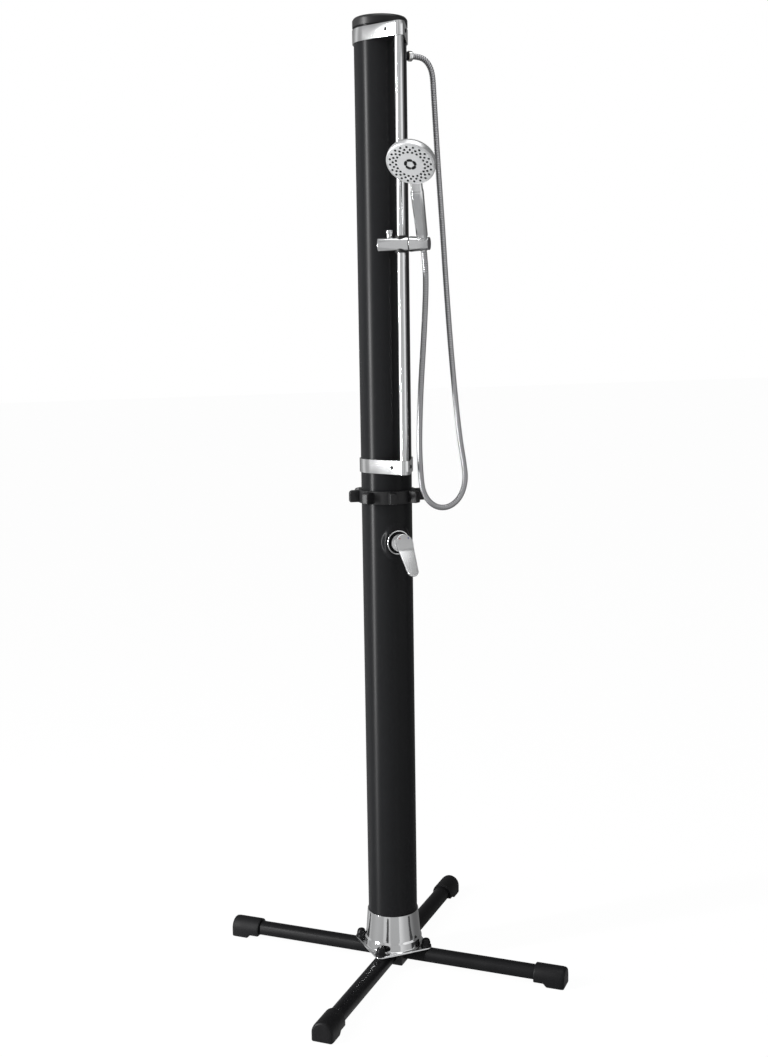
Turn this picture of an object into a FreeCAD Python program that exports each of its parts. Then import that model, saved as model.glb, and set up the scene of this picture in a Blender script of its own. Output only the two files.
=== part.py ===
"""Free-standing outdoor shower post: two tall tanks joined by a union nut, on four legs.

Millimetres. The origin lies on the floor at the post's centre line, Z is up, the front
with the slide rail and the tap faces -Y, and +X is the side of the hose outlet.
"""
import FreeCAD, Part
import Sketcher
import math
import os

V = FreeCAD.Vector
doc = FreeCAD.newDocument("outdoor_shower_post")
sheet = doc.addObject("Spreadsheet::Sheet", "Sizes")
sub_parts = []


# ---------------------------------------------------------------- sizes and expressions
class Length:
    """A size: its value now and the expression on the sheet that gives it."""

    def __init__(self, value, text):
        self.value = float(value)
        self.text = text

    def __add__(self, other):
        other = length(other)
        return Length(self.value + other.value, "(%s + %s)" % (self.text, other.text))

    def __sub__(self, other):
        other = length(other)
        return Length(self.value - other.value, "(%s - %s)" % (self.text, other.text))

    def __mul__(self, other):
        other = length(other)
        return Length(self.value * other.value, "(%s * %s)" % (self.text, other.text))

    def __truediv__(self, other):
        other = length(other)
        return Length(self.value / other.value, "(%s / %s)" % (self.text, other.text))

    def __neg__(self):
        return Length(-self.value, "(0 - %s)" % self.text)

    def __radd__(self, other):
        return length(other) + self

    def __rsub__(self, other):
        return length(other) - self

    def __rmul__(self, other):
        return length(other) * self

    def __rtruediv__(self, other):
        return length(other) / self


def length(number):
    """A plain number as a Length; a Length stays as it is."""
    if isinstance(number, Length):
        return number
    return Length(number, repr(round(float(number), 6)))


def sine(angle):
    angle = length(angle)
    return Length(math.sin(math.radians(angle.value)), "sin(%s)" % angle.text)


def cosine(angle):
    angle = length(angle)
    return Length(math.cos(math.radians(angle.value)), "cos(%s)" % angle.text)


def arcsine(ratio):
    return Length(math.degrees(math.asin(ratio.value)), "(asin(%s) / 1 deg)" % ratio.text)


def size(alias, number):
    """Put one driving dimension on the sheet and hand it back."""
    row = len(sheet_rows) + 1
    sheet_rows.append(alias)
    sheet.set("A%d" % row, alias)
    sheet.set("B%d" % row, repr(number))
    sheet.setAlias("B%d" % row, alias)
    return Length(number, "Sizes." + alias)


sheet_rows = []

# Post: two tanks of one tube, seated on the base flange and joined at the union.
post_radius = size("post_radius", 58.5)
tank_wall = size("tank_wall", 3.0)
post_top = size("post_top", 2196.0)
union_rise = size("union_rise", 88.0)          # from the tap's axis
union_height = size("union_height", 30.0)
union_flange = size("union_flange", 3.0)        # how far the tank necks stand out
neck_height = size("neck_height", 12.0)
seal_height = size("seal_height", 3.0)
fit_gap = size("fit_gap", 0.1)                  # radial clearance of pieces that fit

# Legs, centre hub and foot caps.
leg_width = size("leg_width", 40.0)
leg_height = size("leg_height", 28.0)
leg_wall = size("leg_wall", 2.0)
leg_floor_gap = size("leg_floor_gap", 12.0)
leg_reach = size("leg_reach", 430.0)
cap_wall = size("cap_wall", 5.5)
cap_floor = size("cap_floor", 4.0)
cap_end_wall = size("cap_end_wall", 6.0)
cap_length = size("cap_length", 73.0)
pad_length = size("pad_length", 43.0)
hub_half = size("hub_half", 35.0)
spigot_length = size("spigot_length", 72.0)
spigot_gap = size("spigot_gap", 0.25)

# Base flange: a square plate with a collar round the foot of the post.
plate_half = size("plate_half", 73.0)
plate_corner = size("plate_corner", 13.5)
plate_height = size("plate_height", 4.0)
plate_hole = size("plate_hole", 48.0)
collar_top = size("collar_top", 130.0)
collar_wall = size("collar_wall", 2.6)
collar_flare = size("collar_flare", 6.9)
ring_wall = size("ring_wall", 10.4)
ring_top = size("ring_top", 66.0)

# Fasteners of the base.
bolt_offset = size("bolt_offset", 59.5)
bolt_radius = size("bolt_radius", 4.0)
bolt_hole_gap = size("bolt_hole_gap", 0.3)
bolt_head_radius = size("bolt_head_radius", 8.0)
bolt_head_height = size("bolt_head_height", 4.5)
cap_nut_radius = size("cap_nut_radius", 13.0)
cap_nut_dome = size("cap_nut_dome", 8.6)
cap_nut_height = size("cap_nut_height", 19.5)
clamp_height = size("clamp_height", 54.5)
clamp_spread = size("clamp_spread", 34.0)       # each side of the front, in degrees
clamp_head_radius = size("clamp_head_radius", 6.0)
clamp_head_height = size("clamp_head_height", 4.5)

# Union nut with its grip lugs.
nut_wall = size("nut_wall", 4.4)
lug_reach = size("lug_reach", 88.0)
lug_width = size("lug_width", 16.0)
lug_inset = size("lug_inset", 1.5)
lug_corner = size("lug_corner", 7.0)
lug_count = size("lug_count", 8)
lug_turn = size("lug_turn", -13.5)

# Slide rail and the two bands that hold it.
rail_distance = size("rail_distance", 100.0)
rail_radius = size("rail_radius", 10.0)
rail_wall = size("rail_wall", 1.2)
rail_inset = size("rail_inset", 3.0)
band_wall = size("band_wall", 3.0)
upper_band_drop = size("upper_band_drop", 26.0)     # below the top of the post
upper_band_height = size("upper_band_height", 30.0)
lower_band_rise = size("lower_band_rise", 41.0)     # above the union nut
lower_band_height = size("lower_band_height", 31.5)
band_screw_radius = size("band_screw_radius", 2.5)
band_screw_head = size("band_screw_head", 4.6)
band_screw_place = size("band_screw_place", 62.0)   # from the post along the band's flat side

# Tap: mixer inside the lower tank, trim ring and lever outside.
tap_height = size("tap_height", 1033.0)
boss_radius = size("boss_radius", 30.0)
boss_face = size("boss_face", 61.0)
boss_flare = size("boss_flare", 16.0)
mixer_radius = size("mixer_radius", 23.9)
mixer_wall = size("mixer_wall", 3.4)
mixer_back = size("mixer_back", 30.0)
cartridge_height = size("cartridge_height", 42.0)
cartridge_back = size("cartridge_back", 8.0)
rotor_radius = size("rotor_radius", 12.0)
stem_radius = size("stem_radius", 6.0)
tap_nut_height = size("tap_nut_height", 3.8)
lever_pivot = size("lever_pivot", 61.0)
lever_pin_radius = size("lever_pin_radius", 2.0)
ring_radius = size("ring_radius", 28.0)
ring_hole = size("ring_hole", 25.0)
ring_height = size("ring_height", 3.5)
tap_base_radius = size("tap_base_radius", 20.0)
tap_base_low = size("tap_base_low", 69.0)
tap_disc_radius = size("tap_disc_radius", 21.0)
tap_disc_up = size("tap_disc_up", 4.4)
tap_disc_out = size("tap_disc_out", 99.7)
tap_disc_slant = size("tap_disc_slant", 27.6)
lever_bend = size("lever_bend", 10.7)
lever_bend_drop = size("lever_bend_drop", 16.0)
lever_length = size("lever_length", 69.0)
lever_tip_radius = size("lever_tip_radius", 13.5)
lever_root_half = size("lever_root_half", 20.0)
lever_plate = size("lever_plate", 4.5)

# Pipes inside the tanks, inlet at the back and hose outlet at the right side.
pipe_radius = size("pipe_radius", 6.5)
pipe_wall = size("pipe_wall", 1.2)
pipe_bend = size("pipe_bend", 22.0)
port_radius = size("port_radius", 10.5)
port_reach = size("port_reach", 46.0)
hot_port_side = size("hot_port_side", 32.0)
hot_pipe_drop = size("hot_pipe_drop", 136.0)    # below the top of the post
inlet_height = size("inlet_height", 178.0)
inlet_thread_radius = size("inlet_thread_radius", 13.2)
inlet_thread_length = size("inlet_thread_length", 16.0)
inlet_bore = size("inlet_bore", 6.6)
inlet_hex = size("inlet_hex", 16.0)
inlet_hex_height = size("inlet_hex_height", 8.0)
outlet_drop = size("outlet_drop", 76.0)         # below the top of the post
outlet_gasket_radius = size("outlet_gasket_radius", 9.5)
outlet_gasket_end = size("outlet_gasket_end", 67.2)
shank_radius = size("shank_radius", 7.0)
shank_bore = size("shank_bore", 4.8)
thread_radius = size("thread_radius", 9.4)
thread_length = size("thread_length", 8.0)
hose_nut_radius = size("hose_nut_radius", 11.4)
hose_nut_length = size("hose_nut_length", 10.8)

# Shower hose.
hose_radius = size("hose_radius", 6.6)
hose_valley = size("hose_valley", 5.8)
hose_bore = size("hose_bore", 4.0)
hose_rib_count = size("hose_rib_count", 160)

# Slider on the rail with its swivelling holder.
slider_height = size("slider_height", 1700.0)
slider_turn = size("slider_turn", -37.0)
slider_radius = size("slider_radius", 16.5)
slider_left = size("slider_left", 51.0)
slider_right = size("slider_right", 18.0)
bush_radius = size("bush_radius", 12.0)
bush_flange_radius = size("bush_flange_radius", 13.5)
bush_flange_low = size("bush_flange_low", 14.5)
bush_flange_high = size("bush_flange_high", 18.5)
bush_gap = size("bush_gap", 0.06)
button_place = size("button_place", 26.5)
button_radius = size("button_radius", 6.6)
button_cap_radius = size("button_cap_radius", 7.5)
button_top = size("button_top", 31.0)
spring_wire = size("spring_wire", 0.8)
spring_radius = size("spring_radius", 4.2)
slider_bore = size("slider_bore", 11.0)
slider_plug_height = size("slider_plug_height", 4.0)
friction_washer_height = size("friction_washer_height", 2.2)
swivel_end = size("swivel_end", 61.5)
swivel_root_radius = size("swivel_root_radius", 17.0)
swivel_tip_radius = size("swivel_tip_radius", 13.8)
swivel_cap_height = size("swivel_cap_height", 2.6)
holder_place = size("holder_place", 49.0)
holder_tilt = size("holder_tilt", 28.0)
cone_top_radius = size("cone_top_radius", 10.9)
cone_bottom_radius = size("cone_bottom_radius", 8.7)
nut_inset = size("nut_inset", 2.0)              # how far the hose nut ends inside the holder's root
handle_gap = size("handle_gap", 1.2)
cone_gap = size("cone_gap", 0.25)
slot_half = size("slot_half", 7.4)

# Handset.
handle_bottom_half = size("handle_bottom_half", 11.5)
handle_top_half = size("handle_top_half", 13.5)
handle_depth_half = size("handle_depth_half", 10.5)
handle_bevel = size("handle_bevel", 5.0)
handle_length = size("handle_length", 107.0)
waterway_radius = size("waterway_radius", 5.5)
head_distance = size("head_distance", 190.0)
head_ahead = size("head_ahead", 24.0)           # how far the face lies in front of the handle's middle
head_slant = size("head_slant", 17.0)
head_radius = size("head_radius", 53.0)
head_height = size("head_height", 26.0)
head_wall = size("head_wall", 2.5)
face_radius = size("face_radius", 50.0)
face_height = size("face_height", 3.0)
nozzle_radius = size("nozzle_radius", 1.35)
nozzle_stand = size("nozzle_stand", 0.8)
nozzle_count = size("nozzle_count", 20)
jet_ring_radius = size("jet_ring_radius", 11.0)
jet_half_width = size("jet_half_width", 1.7)
jet_count = size("jet_count", 5)
jet_gap_half = size("jet_gap_half", 2.0)
handset_twist = size("handset_twist", -5.0)


# ---------------------------------------------------------------- placing
POINTING = {
    "Z": ((0, 0, 1), 0),
    "-Z": ((1, 0, 0), 180),
    "X": ((0, 1, 0), 90),
    "-X": ((0, 1, 0), -90),
    "Y": ((1, 0, 0), -90),
    "-Y": ((1, 0, 0), 90),
}


def place_text(at, axis, turn):
    """Expression of a placement: a shift and a turn about an axis."""
    shift = "vector(%s; %s; %s)" % tuple(length(part).text for part in at)
    about = "vector(%d; %d; %d)" % tuple(axis)
    return "create(<<placement>>; %s; create(<<rotation>>; %s; %s))" % (shift, about, length(turn).text)


def put(item, at=(0, 0, 0), way="Z", inside=None, axis=None, turn=0):
    """Bind an object's Placement: at a point, its own Z towards `way` or turned about an axis."""
    if axis is None:
        axis, turn = POINTING[way]
    text = place_text(at, axis, turn)
    if inside is not None:
        text = "%s.Placement * %s" % (inside.Name, text)
    item.setExpression("Placement", text)
    return item


def frame(name, at=(0, 0, 0), axis=(0, 0, 1), turn=0, inside=None):
    """A named local frame that pieces are placed in."""
    return put(doc.addObject("App::Placement", name), at, None, inside, axis, turn)


# ---------------------------------------------------------------- solids
def cylinder(name, radius, height, at=(0, 0, 0), way="Z", inside=None, axis=None, turn=0):
    solid = doc.addObject("Part::Cylinder", name)
    solid.setExpression("Radius", length(radius).text)
    solid.setExpression("Height", length(height).text)
    return put(solid, at, way, inside, axis, turn)


def cone(name, radius_low, radius_high, height, at=(0, 0, 0), way="Z", inside=None):
    solid = doc.addObject("Part::Cone", name)
    solid.setExpression("Radius1", length(radius_low).text)
    solid.setExpression("Radius2", length(radius_high).text)
    solid.setExpression("Height", length(height).text)
    return put(solid, at, way, inside)


def box(name, low, high, inside=None, axis=(0, 0, 1), turn=0):
    """Box between two corners of a frame, turned about the frame's own origin."""
    solid = doc.addObject("Part::Box", name)
    for side, start, end in zip(("Length", "Width", "Height"), low, high):
        solid.setExpression(side, (length(end) - start).text)
    text = "%s * %s" % (place_text((0, 0, 0), axis, turn), place_text(low, (0, 0, 1), 0))
    if inside is not None:
        text = "%s.Placement * %s" % (inside.Name, text)
    solid.setExpression("Placement", text)
    return solid


def hexagon(name, across, height, at=(0, 0, 0), way="Z", inside=None):
    """Hexagonal prism; `across` is the radius to its corners."""
    solid = doc.addObject("Part::Prism", name)
    solid.Polygon = 6
    solid.setExpression("Circumradius", length(across).text)
    solid.setExpression("Height", length(height).text)
    return put(solid, at, way, inside)


def fuse(name, *solids):
    joined = doc.addObject("Part::MultiFuse", name)
    joined.Shapes = list(solids)
    return joined


def cut(name, base, *tools):
    removed = doc.addObject("Part::Cut", name)
    removed.Base = base
    removed.Tool = tools[0] if len(tools) == 1 else fuse(name + "_tools", *tools)
    return removed


def common(name, first, second):
    shared = doc.addObject("Part::MultiCommon", name)
    shared.Shapes = [first, second]
    return shared


def group(name, solids):
    """Identical pieces that share one node."""
    together = doc.addObject("Part::Compound", name)
    together.Links = list(solids)
    return together


# ---------------------------------------------------------------- sketched solids
def origin_plane(body, role):
    return [item for item in body.Origin.OriginFeatures if item.Role == role][0]


def arc_centre(start, end, known):
    """Centre of an arc through two points when one of its coordinates is known."""
    axis, number = known
    number = length(number).value
    half_x = 2 * (end[0] - start[0])
    half_y = 2 * (end[1] - start[1])
    total = end[0] ** 2 + end[1] ** 2 - start[0] ** 2 - start[1] ** 2
    if axis == "x":
        return number, (total - half_x * number) / half_y
    return (total - half_y * number) / half_x, number


def sketch(body, role, corners, arcs=None, offset=0):
    """Closed outline through corners; arcs[i] = (axis, centre coordinate, anticlockwise)."""
    arcs = arcs or {}
    drawing = body.newObject("Sketcher::SketchObject", body.Name + "_sketch")
    drawing.AttachmentSupport = [(origin_plane(body, role), "")]
    drawing.MapMode = "FlatFace"
    drawing.setExpression("AttachmentOffset", place_text((0, 0, offset), (0, 0, 1), 0))
    numbers = [(length(x).value, length(y).value) for x, y in corners]
    ends = []
    for i, start in enumerate(numbers):
        end = numbers[(i + 1) % len(numbers)]
        if i in arcs:
            axis, number, anticlockwise = arcs[i]
            middle = arc_centre(start, end, (axis, number))
            first, last = (start, end) if anticlockwise else (end, start)
            circle = Part.Circle(V(middle[0], middle[1], 0), V(0, 0, 1), math.dist(middle, start))
            sweep = [math.atan2(p[1] - middle[1], p[0] - middle[0]) for p in (first, last)]
            line = drawing.addGeometry(Part.ArcOfCircle(circle, sweep[0], sweep[1]))
            ends.append((line, 1, 2) if anticlockwise else (line, 2, 1))
        else:
            line = drawing.addGeometry(Part.LineSegment(V(*start, 0), V(*end, 0)))
            ends.append((line, 1, 2))
    for i, (line, _, last) in enumerate(ends):
        other, first, _ = ends[(i + 1) % len(ends)]
        drawing.addConstraint(Sketcher.Constraint("Coincident", line, last, other, first))
    for i, (line, first, _) in enumerate(ends):
        for kind, number in zip(("DistanceX", "DistanceY"), corners[i]):
            bind(drawing, Sketcher.Constraint(kind, -1, 1, line, first, length(number).value), number)
        if i in arcs:
            kind = "DistanceX" if arcs[i][0] == "x" else "DistanceY"
            number = arcs[i][1]
            bind(drawing, Sketcher.Constraint(kind, -1, 1, line, 3, length(number).value), number)
    return drawing


def bind(drawing, constraint, number):
    index = drawing.addConstraint(constraint)
    drawing.setExpression("Constraints[%d]" % index, length(number).text)


def new_body(name):
    return doc.addObject("PartDesign::Body", name)


def add_turned(body, corners, arcs=None, groove=False):
    """Revolve an outline of (radius, height) about the body's own Z."""
    profile = sketch(body, "XZ_Plane", corners, arcs)
    kind = "PartDesign::Groove" if groove else "PartDesign::Revolution"
    feature = body.newObject(kind, body.Name + "_turned")
    feature.Profile = profile
    feature.ReferenceAxis = (profile, ["V_Axis"])
    feature.Angle = 360
    return feature


def turned(name, corners, arcs=None, at=(0, 0, 0), way="Z", inside=None):
    body = new_body(name)
    add_turned(body, corners, arcs)
    return put(body, at, way, inside)


def add_pad(body, role, corners, arcs, start, height):
    profile = sketch(body, role, corners, arcs, start)
    feature = body.newObject("PartDesign::Pad", body.Name + "_pad")
    feature.Profile = profile
    feature.setExpression("Length", length(height).text)
    return feature


def plate(name, corners, arcs, low, high, at=(0, 0, 0), way="Z", inside=None, axis=None, turn=0):
    """Flat piece: an outline on its own XY plane, from height `low` to `high`."""
    body = new_body(name)
    add_pad(body, "XY_Plane", corners, arcs, low, length(high) - low)
    return put(body, at, way, inside, axis, turn)


def arch(name, half, low, spring, start, end, inside):
    """Bar along X with a flat underside, upright sides and a half-round top."""
    body = new_body(name)
    corners = [(-half, low), (half, low), (half, spring), (-half, spring)]
    add_pad(body, "YZ_Plane", corners, {2: ("y", spring, True)}, start, length(end) - start)
    return put(body, inside=inside)


def ring(name, inner, outer, low, high, at=(0, 0, 0), way="Z", inside=None):
    """Plain ring or tube of rectangular section."""
    return turned(name, [(inner, low), (outer, low), (outer, high), (inner, high)], None, at, way, inside)


def keep(piece):
    """List a finished sub-part: its Label names its file."""
    piece.Label = piece.Name
    sub_parts.append(piece)
    return piece


# ---------------------------------------------------------------- legs, hub and foot caps
leg_half = leg_width / 2
leg_low = leg_floor_gap
leg_top = leg_low + leg_height
leg_spring = leg_top - leg_half
leg_end = leg_reach - cap_end_wall
bolt_circle = bolt_offset * math.sqrt(2)
bolt_hole = bolt_radius + bolt_hole_gap
leg_names = {"front_left": -135, "front_right": -45, "rear_right": 45, "rear_left": 135}
leg_frames = {name: frame("leg_frame_" + name, turn=angle) for name, angle in leg_names.items()}


def make_hub():
    """Moulded centre foot whose four spigots hold the leg tubes."""
    spigot_half = leg_half - leg_wall - spigot_gap
    spigot_low = leg_low + leg_wall + spigot_gap
    block = box("hub_block", (-hub_half, -hub_half, 0), (hub_half, hub_half, leg_top), turn=45)
    solids = [block]
    holes = []
    for name, leg in leg_frames.items():
        solids.append(arch("hub_spigot_" + name, spigot_half, spigot_low, leg_spring,
                           hub_half - 5, hub_half + spigot_length, leg))
        holes.append(cylinder("hub_hole_" + name, bolt_hole, leg_top, (bolt_circle, 0, 0), inside=leg))
    return cut("leg_hub", fuse("hub_body", *solids), *holes)


def make_leg(name, leg):
    """Arch-section tube, open at both ends, drilled for the flange bolt."""
    outside = arch(name + "_outside", leg_half, leg_low, leg_spring, hub_half, leg_end, leg)
    bore = arch(name + "_bore", leg_half - leg_wall, leg_low + leg_wall, leg_spring,
                hub_half - 1, leg_end + 1, leg)
    hole = cylinder(name + "_hole", bolt_hole, leg_top, (bolt_circle, 0, leg_low - 1), inside=leg)
    return cut(name, outside, bore, hole)


def make_foot_cap(name, leg):
    """Rubber cap over the end of a leg, with the pad that stands on the floor."""
    sleeve = arch(name + "_sleeve", leg_half + cap_wall, leg_low - cap_floor, leg_spring,
                  leg_reach - cap_length, leg_reach, leg)
    pad = box(name + "_pad", (leg_reach - pad_length, -(leg_half + cap_wall), 0),
              (leg_reach, leg_half + cap_wall, leg_low), inside=leg)
    socket = arch(name + "_socket", leg_half + fit_gap, leg_low - fit_gap, leg_spring,
                  leg_reach - cap_length - 1, leg_end, leg)
    return cut(name, fuse(name + "_solid", sleeve, pad), socket)


keep(make_hub())
for leg_name, leg_frame in leg_frames.items():
    keep(make_leg("leg_" + leg_name, leg_frame))
    keep(make_foot_cap("foot_cap_" + leg_name, leg_frame))


# ---------------------------------------------------------------- base flange and its fasteners
plate_low = leg_top
plate_top = plate_low + plate_height
clamp_turns = [-90 - clamp_spread, -90 + clamp_spread, 90 - clamp_spread, 90 + clamp_spread]
collar_ring_radius = post_radius + ring_wall


def make_base_flange():
    """Cast flange: square plate, stepped and flared collar, bolt and clamp screw holes."""
    near = plate_half - plate_corner
    far = plate_half
    corners = [(near, -far), (far, -near), (far, near), (near, far),
               (-near, far), (-far, near), (-far, -near), (-near, -far)]
    arcs = {0: ("x", near, True), 2: ("x", near, True), 4: ("x", -near, True), 6: ("x", -near, True)}
    square = plate("flange_plate", corners, arcs, plate_low, plate_top)
    bore = post_radius + fit_gap
    collar = turned("flange_collar", [
        (bore, plate_top - 1),
        (collar_ring_radius + 2.6, plate_top - 1),
        (collar_ring_radius + 2.6, plate_top),
        (collar_ring_radius, plate_top + 2.6),
        (collar_ring_radius - 0.4, ring_top - 2),
        (post_radius + collar_flare + 1.2, ring_top),
        (post_radius + collar_flare, ring_top + 4),
        (post_radius + collar_wall, collar_top - 1),
        (post_radius + collar_wall - 0.6, collar_top),
        (bore, collar_top),
    ], {2: ("x", collar_ring_radius + 2.6, False)})
    holes = [cylinder("flange_centre_hole", plate_hole, 20, (0, 0, plate_low - 5))]
    for name, leg in leg_frames.items():
        holes.append(cylinder("flange_hole_" + name, bolt_hole, 20, (bolt_circle, 0, plate_low - 5),
                              inside=leg))
    for index, angle in enumerate(clamp_turns):
        turn_frame = frame("clamp_frame_%d" % index, (0, 0, clamp_height), turn=angle)
        holes.append(cylinder("clamp_hole_%d" % index, bolt_radius + fit_gap, 30,
                              (post_radius - 5, 0, 0), "X", turn_frame))
    return cut("base_flange", fuse("flange_solid", square, collar), *holes)


def make_flange_bolts():
    """Round-headed bolts up through the legs and the plate."""
    head_top = leg_low
    bolts = []
    for name, leg in leg_frames.items():
        bolts.append(turned("bolt_" + name, [
            (0, head_top - bolt_head_height),
            (bolt_head_radius * 0.6, head_top - bolt_head_height),
            (bolt_head_radius, head_top - 1),
            (bolt_head_radius, head_top),
            (bolt_radius, head_top),
            (bolt_radius, plate_top + cap_nut_height - 6),
            (0, plate_top + cap_nut_height - 6),
        ], None, (bolt_circle, 0, 0), "Z", leg))
    return group("flange_bolts", bolts)


def make_cap_nuts():
    """Domed nuts with a wide flange on top of the plate."""
    nuts = []
    for name, leg in leg_frames.items():
        top = plate_top + cap_nut_height
        nuts.append(turned("cap_nut_" + name, [
            (bolt_radius, plate_top),
            (cap_nut_radius, plate_top),
            (cap_nut_radius, plate_top + 1.5),
            (cap_nut_dome + 1.5, plate_top + 4.5),
            (cap_nut_dome, plate_top + 7),
            (cap_nut_dome, top - cap_nut_dome + 1),
            (0, top),
            (0, top - 5),
            (bolt_radius, top - 5),
        ], {5: ("x", 0, True)}, (bolt_circle, 0, 0), "Z", leg))
    return group("flange_cap_nuts", nuts)


def make_clamp_screws():
    """Socket-headed screws that clamp the post in the collar."""
    screws = []
    for index in range(len(clamp_turns)):
        turn_frame = doc.getObject("clamp_frame_%d" % index)
        body = turned("clamp_screw_%d" % index, [
            (0, post_radius),
            (bolt_radius, post_radius),
            (bolt_radius, collar_ring_radius),
            (clamp_head_radius, collar_ring_radius),
            (clamp_head_radius, collar_ring_radius + clamp_head_height - 1),
            (clamp_head_radius - 1, collar_ring_radius + clamp_head_height),
            (0, collar_ring_radius + clamp_head_height),
        ], None, (0, 0, 0), "X", turn_frame)
        socket = hexagon("clamp_socket_%d" % index, 2.9, 4,
                         (collar_ring_radius + clamp_head_height - 3, 0, 0), "X", turn_frame)
        screws.append(cut("clamp_screw_cut_%d" % index, body, socket))
    return group("collar_clamp_screws", screws)


keep(make_base_flange())
keep(make_flange_bolts())
keep(make_cap_nuts())
keep(make_clamp_screws())


# ---------------------------------------------------------------- tanks and union
tank_bore = post_radius - tank_wall
neck_radius = post_radius + union_flange
union_low = tap_height + union_rise
neck_low = union_low + 4
neck_top = neck_low + neck_height
seal_top = neck_top + seal_height
upper_neck_top = seal_top + 4
union_top = union_low + union_height
lower_band_low = union_top + lower_band_rise
lower_band_high = lower_band_low + lower_band_height
upper_band_high = post_top - upper_band_drop
upper_band_low = upper_band_high - upper_band_height
outlet_height = post_top - outlet_drop
hot_pipe_top = post_top - hot_pipe_drop
boss_reach = boss_radius + boss_flare + 10
tap_frame = frame("tap_frame", (0, 0, tap_height), (1, 0, 0), 90)
boss_hole = mixer_radius + fit_gap


def make_lower_tank():
    """Lower tube with a threaded neck on top and a flared boss for the tap."""
    tube = turned("lower_tube", [
        (tank_bore, plate_top),
        (post_radius, plate_top),
        (post_radius, neck_low - 2),
        (neck_radius, neck_low),
        (neck_radius, neck_top),
        (tank_bore, neck_top),
    ])
    boss = turned("tap_boss", [
        (0, boss_face - boss_flare - 6),
        (boss_radius + boss_flare, boss_face - boss_flare - 6),
        (boss_radius + boss_flare - 1, boss_face - boss_flare),
        (boss_radius + 1, boss_face - 1),
        (boss_radius, boss_face),
        (0, boss_face),
    ], {2: ("x", boss_radius + boss_flare, False)}, (0, 0, 0), "Z", tap_frame)
    inside = cylinder("boss_inside", post_radius - tank_wall / 2, boss_reach * 2, (0, 0, tap_height - boss_reach))
    hole = cylinder("tap_hole", boss_hole, 40, (0, 0, boss_face - 35), "Z", tap_frame)
    inlet_hole = cylinder("inlet_hole", port_radius + fit_gap, 30, (0, tank_bore - 8, inlet_height), "Y")
    return cut("lower_tank", fuse("lower_tank_solid", tube, cut("tap_boss_shell", boss, inside)),
               hole, inlet_hole)


def make_upper_tank():
    tube = turned("upper_tube", [
        (tank_bore, seal_top),
        (neck_radius, seal_top),
        (neck_radius, upper_neck_top),
        (post_radius, upper_neck_top),
        (post_radius, post_top - 6),
        (tank_bore, post_top - 6),
    ])
    hole = cylinder("outlet_hole", shank_radius + fit_gap, 30, (tank_bore - 10, 0, outlet_height), "X")
    return cut("upper_tank", tube, hole)


def make_union_nut():
    """Threaded ring with grip lugs that pulls the two tanks together."""
    body = new_body("union_nut")
    bore = neck_radius + fit_gap
    outer = neck_radius + nut_wall
    lip_low = upper_neck_top + 0.3
    add_turned(body, [
        (bore, union_low),
        (outer - 1, union_low),
        (outer, union_low + 1),
        (outer, union_top - 2),
        (outer - 2, union_top),
        (post_radius + fit_gap, union_top),
        (post_radius + fit_gap, lip_low),
        (bore, lip_low),
    ])
    low = union_low + lug_inset
    high = union_top - lug_inset
    lug = add_pad(body, "XZ_Plane", [
        (outer - 1.5, low),
        (lug_reach - 1.5, low),
        (lug_reach, low + 1.5),
        (lug_reach, high - lug_corner),
        (lug_reach - lug_corner, high),
        (outer - 1.5, high),
    ], {3: ("x", lug_reach - lug_corner, True)}, 0, lug_width)
    lug.SideType = "Symmetric"
    pattern = body.newObject("PartDesign::PolarPattern", "union_lugs")
    pattern.Originals = [lug]
    pattern.Axis = (origin_axis(body, "Z_Axis"), [""])
    pattern.Angle = 360
    pattern.setExpression("Occurrences", lug_count.text)
    body.Tip = pattern
    return put(body, axis=(0, 0, 1), turn=lug_turn)


def origin_axis(body, role):
    return [item for item in body.Origin.OriginFeatures if item.Role == role][0]


def make_top_cap():
    """Domed plastic lid pressed over the top of the upper tank."""
    skirt_low = upper_band_high + 0.3
    outer = post_radius + 2.8
    return turned("top_cap", [
        (post_radius + fit_gap, skirt_low),
        (outer, skirt_low),
        (outer, post_top - 8),
        (outer - 6, post_top - 1.5),
        (0, post_top),
        (0, post_top - 4),
        (post_radius + fit_gap, post_top - 4.5),
    ], {2: ("x", outer - 6.5, True)})


keep(make_lower_tank())
keep(ring("tank_bottom", 0, tank_bore - fit_gap, plate_top, plate_top + 6))
keep(ring("union_seal", tank_bore, neck_radius - 1, neck_top, seal_top))
keep(make_upper_tank())
keep(make_union_nut())
keep(make_top_cap())
keep(ring("top_cap_seal", tank_bore + 0.2, post_radius - 0.2, post_top - 6, post_top - 4.6))


# ---------------------------------------------------------------- tap
mixer_bore = mixer_radius - mixer_wall
mixer_front = boss_face - 1
cartridge_top = cartridge_back + cartridge_height
cartridge_radius = mixer_bore - 0.2
rotor_low = cartridge_top - 20
tap_nut_top = cartridge_top + tap_nut_height
port_bore = pipe_radius + fit_gap


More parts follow.
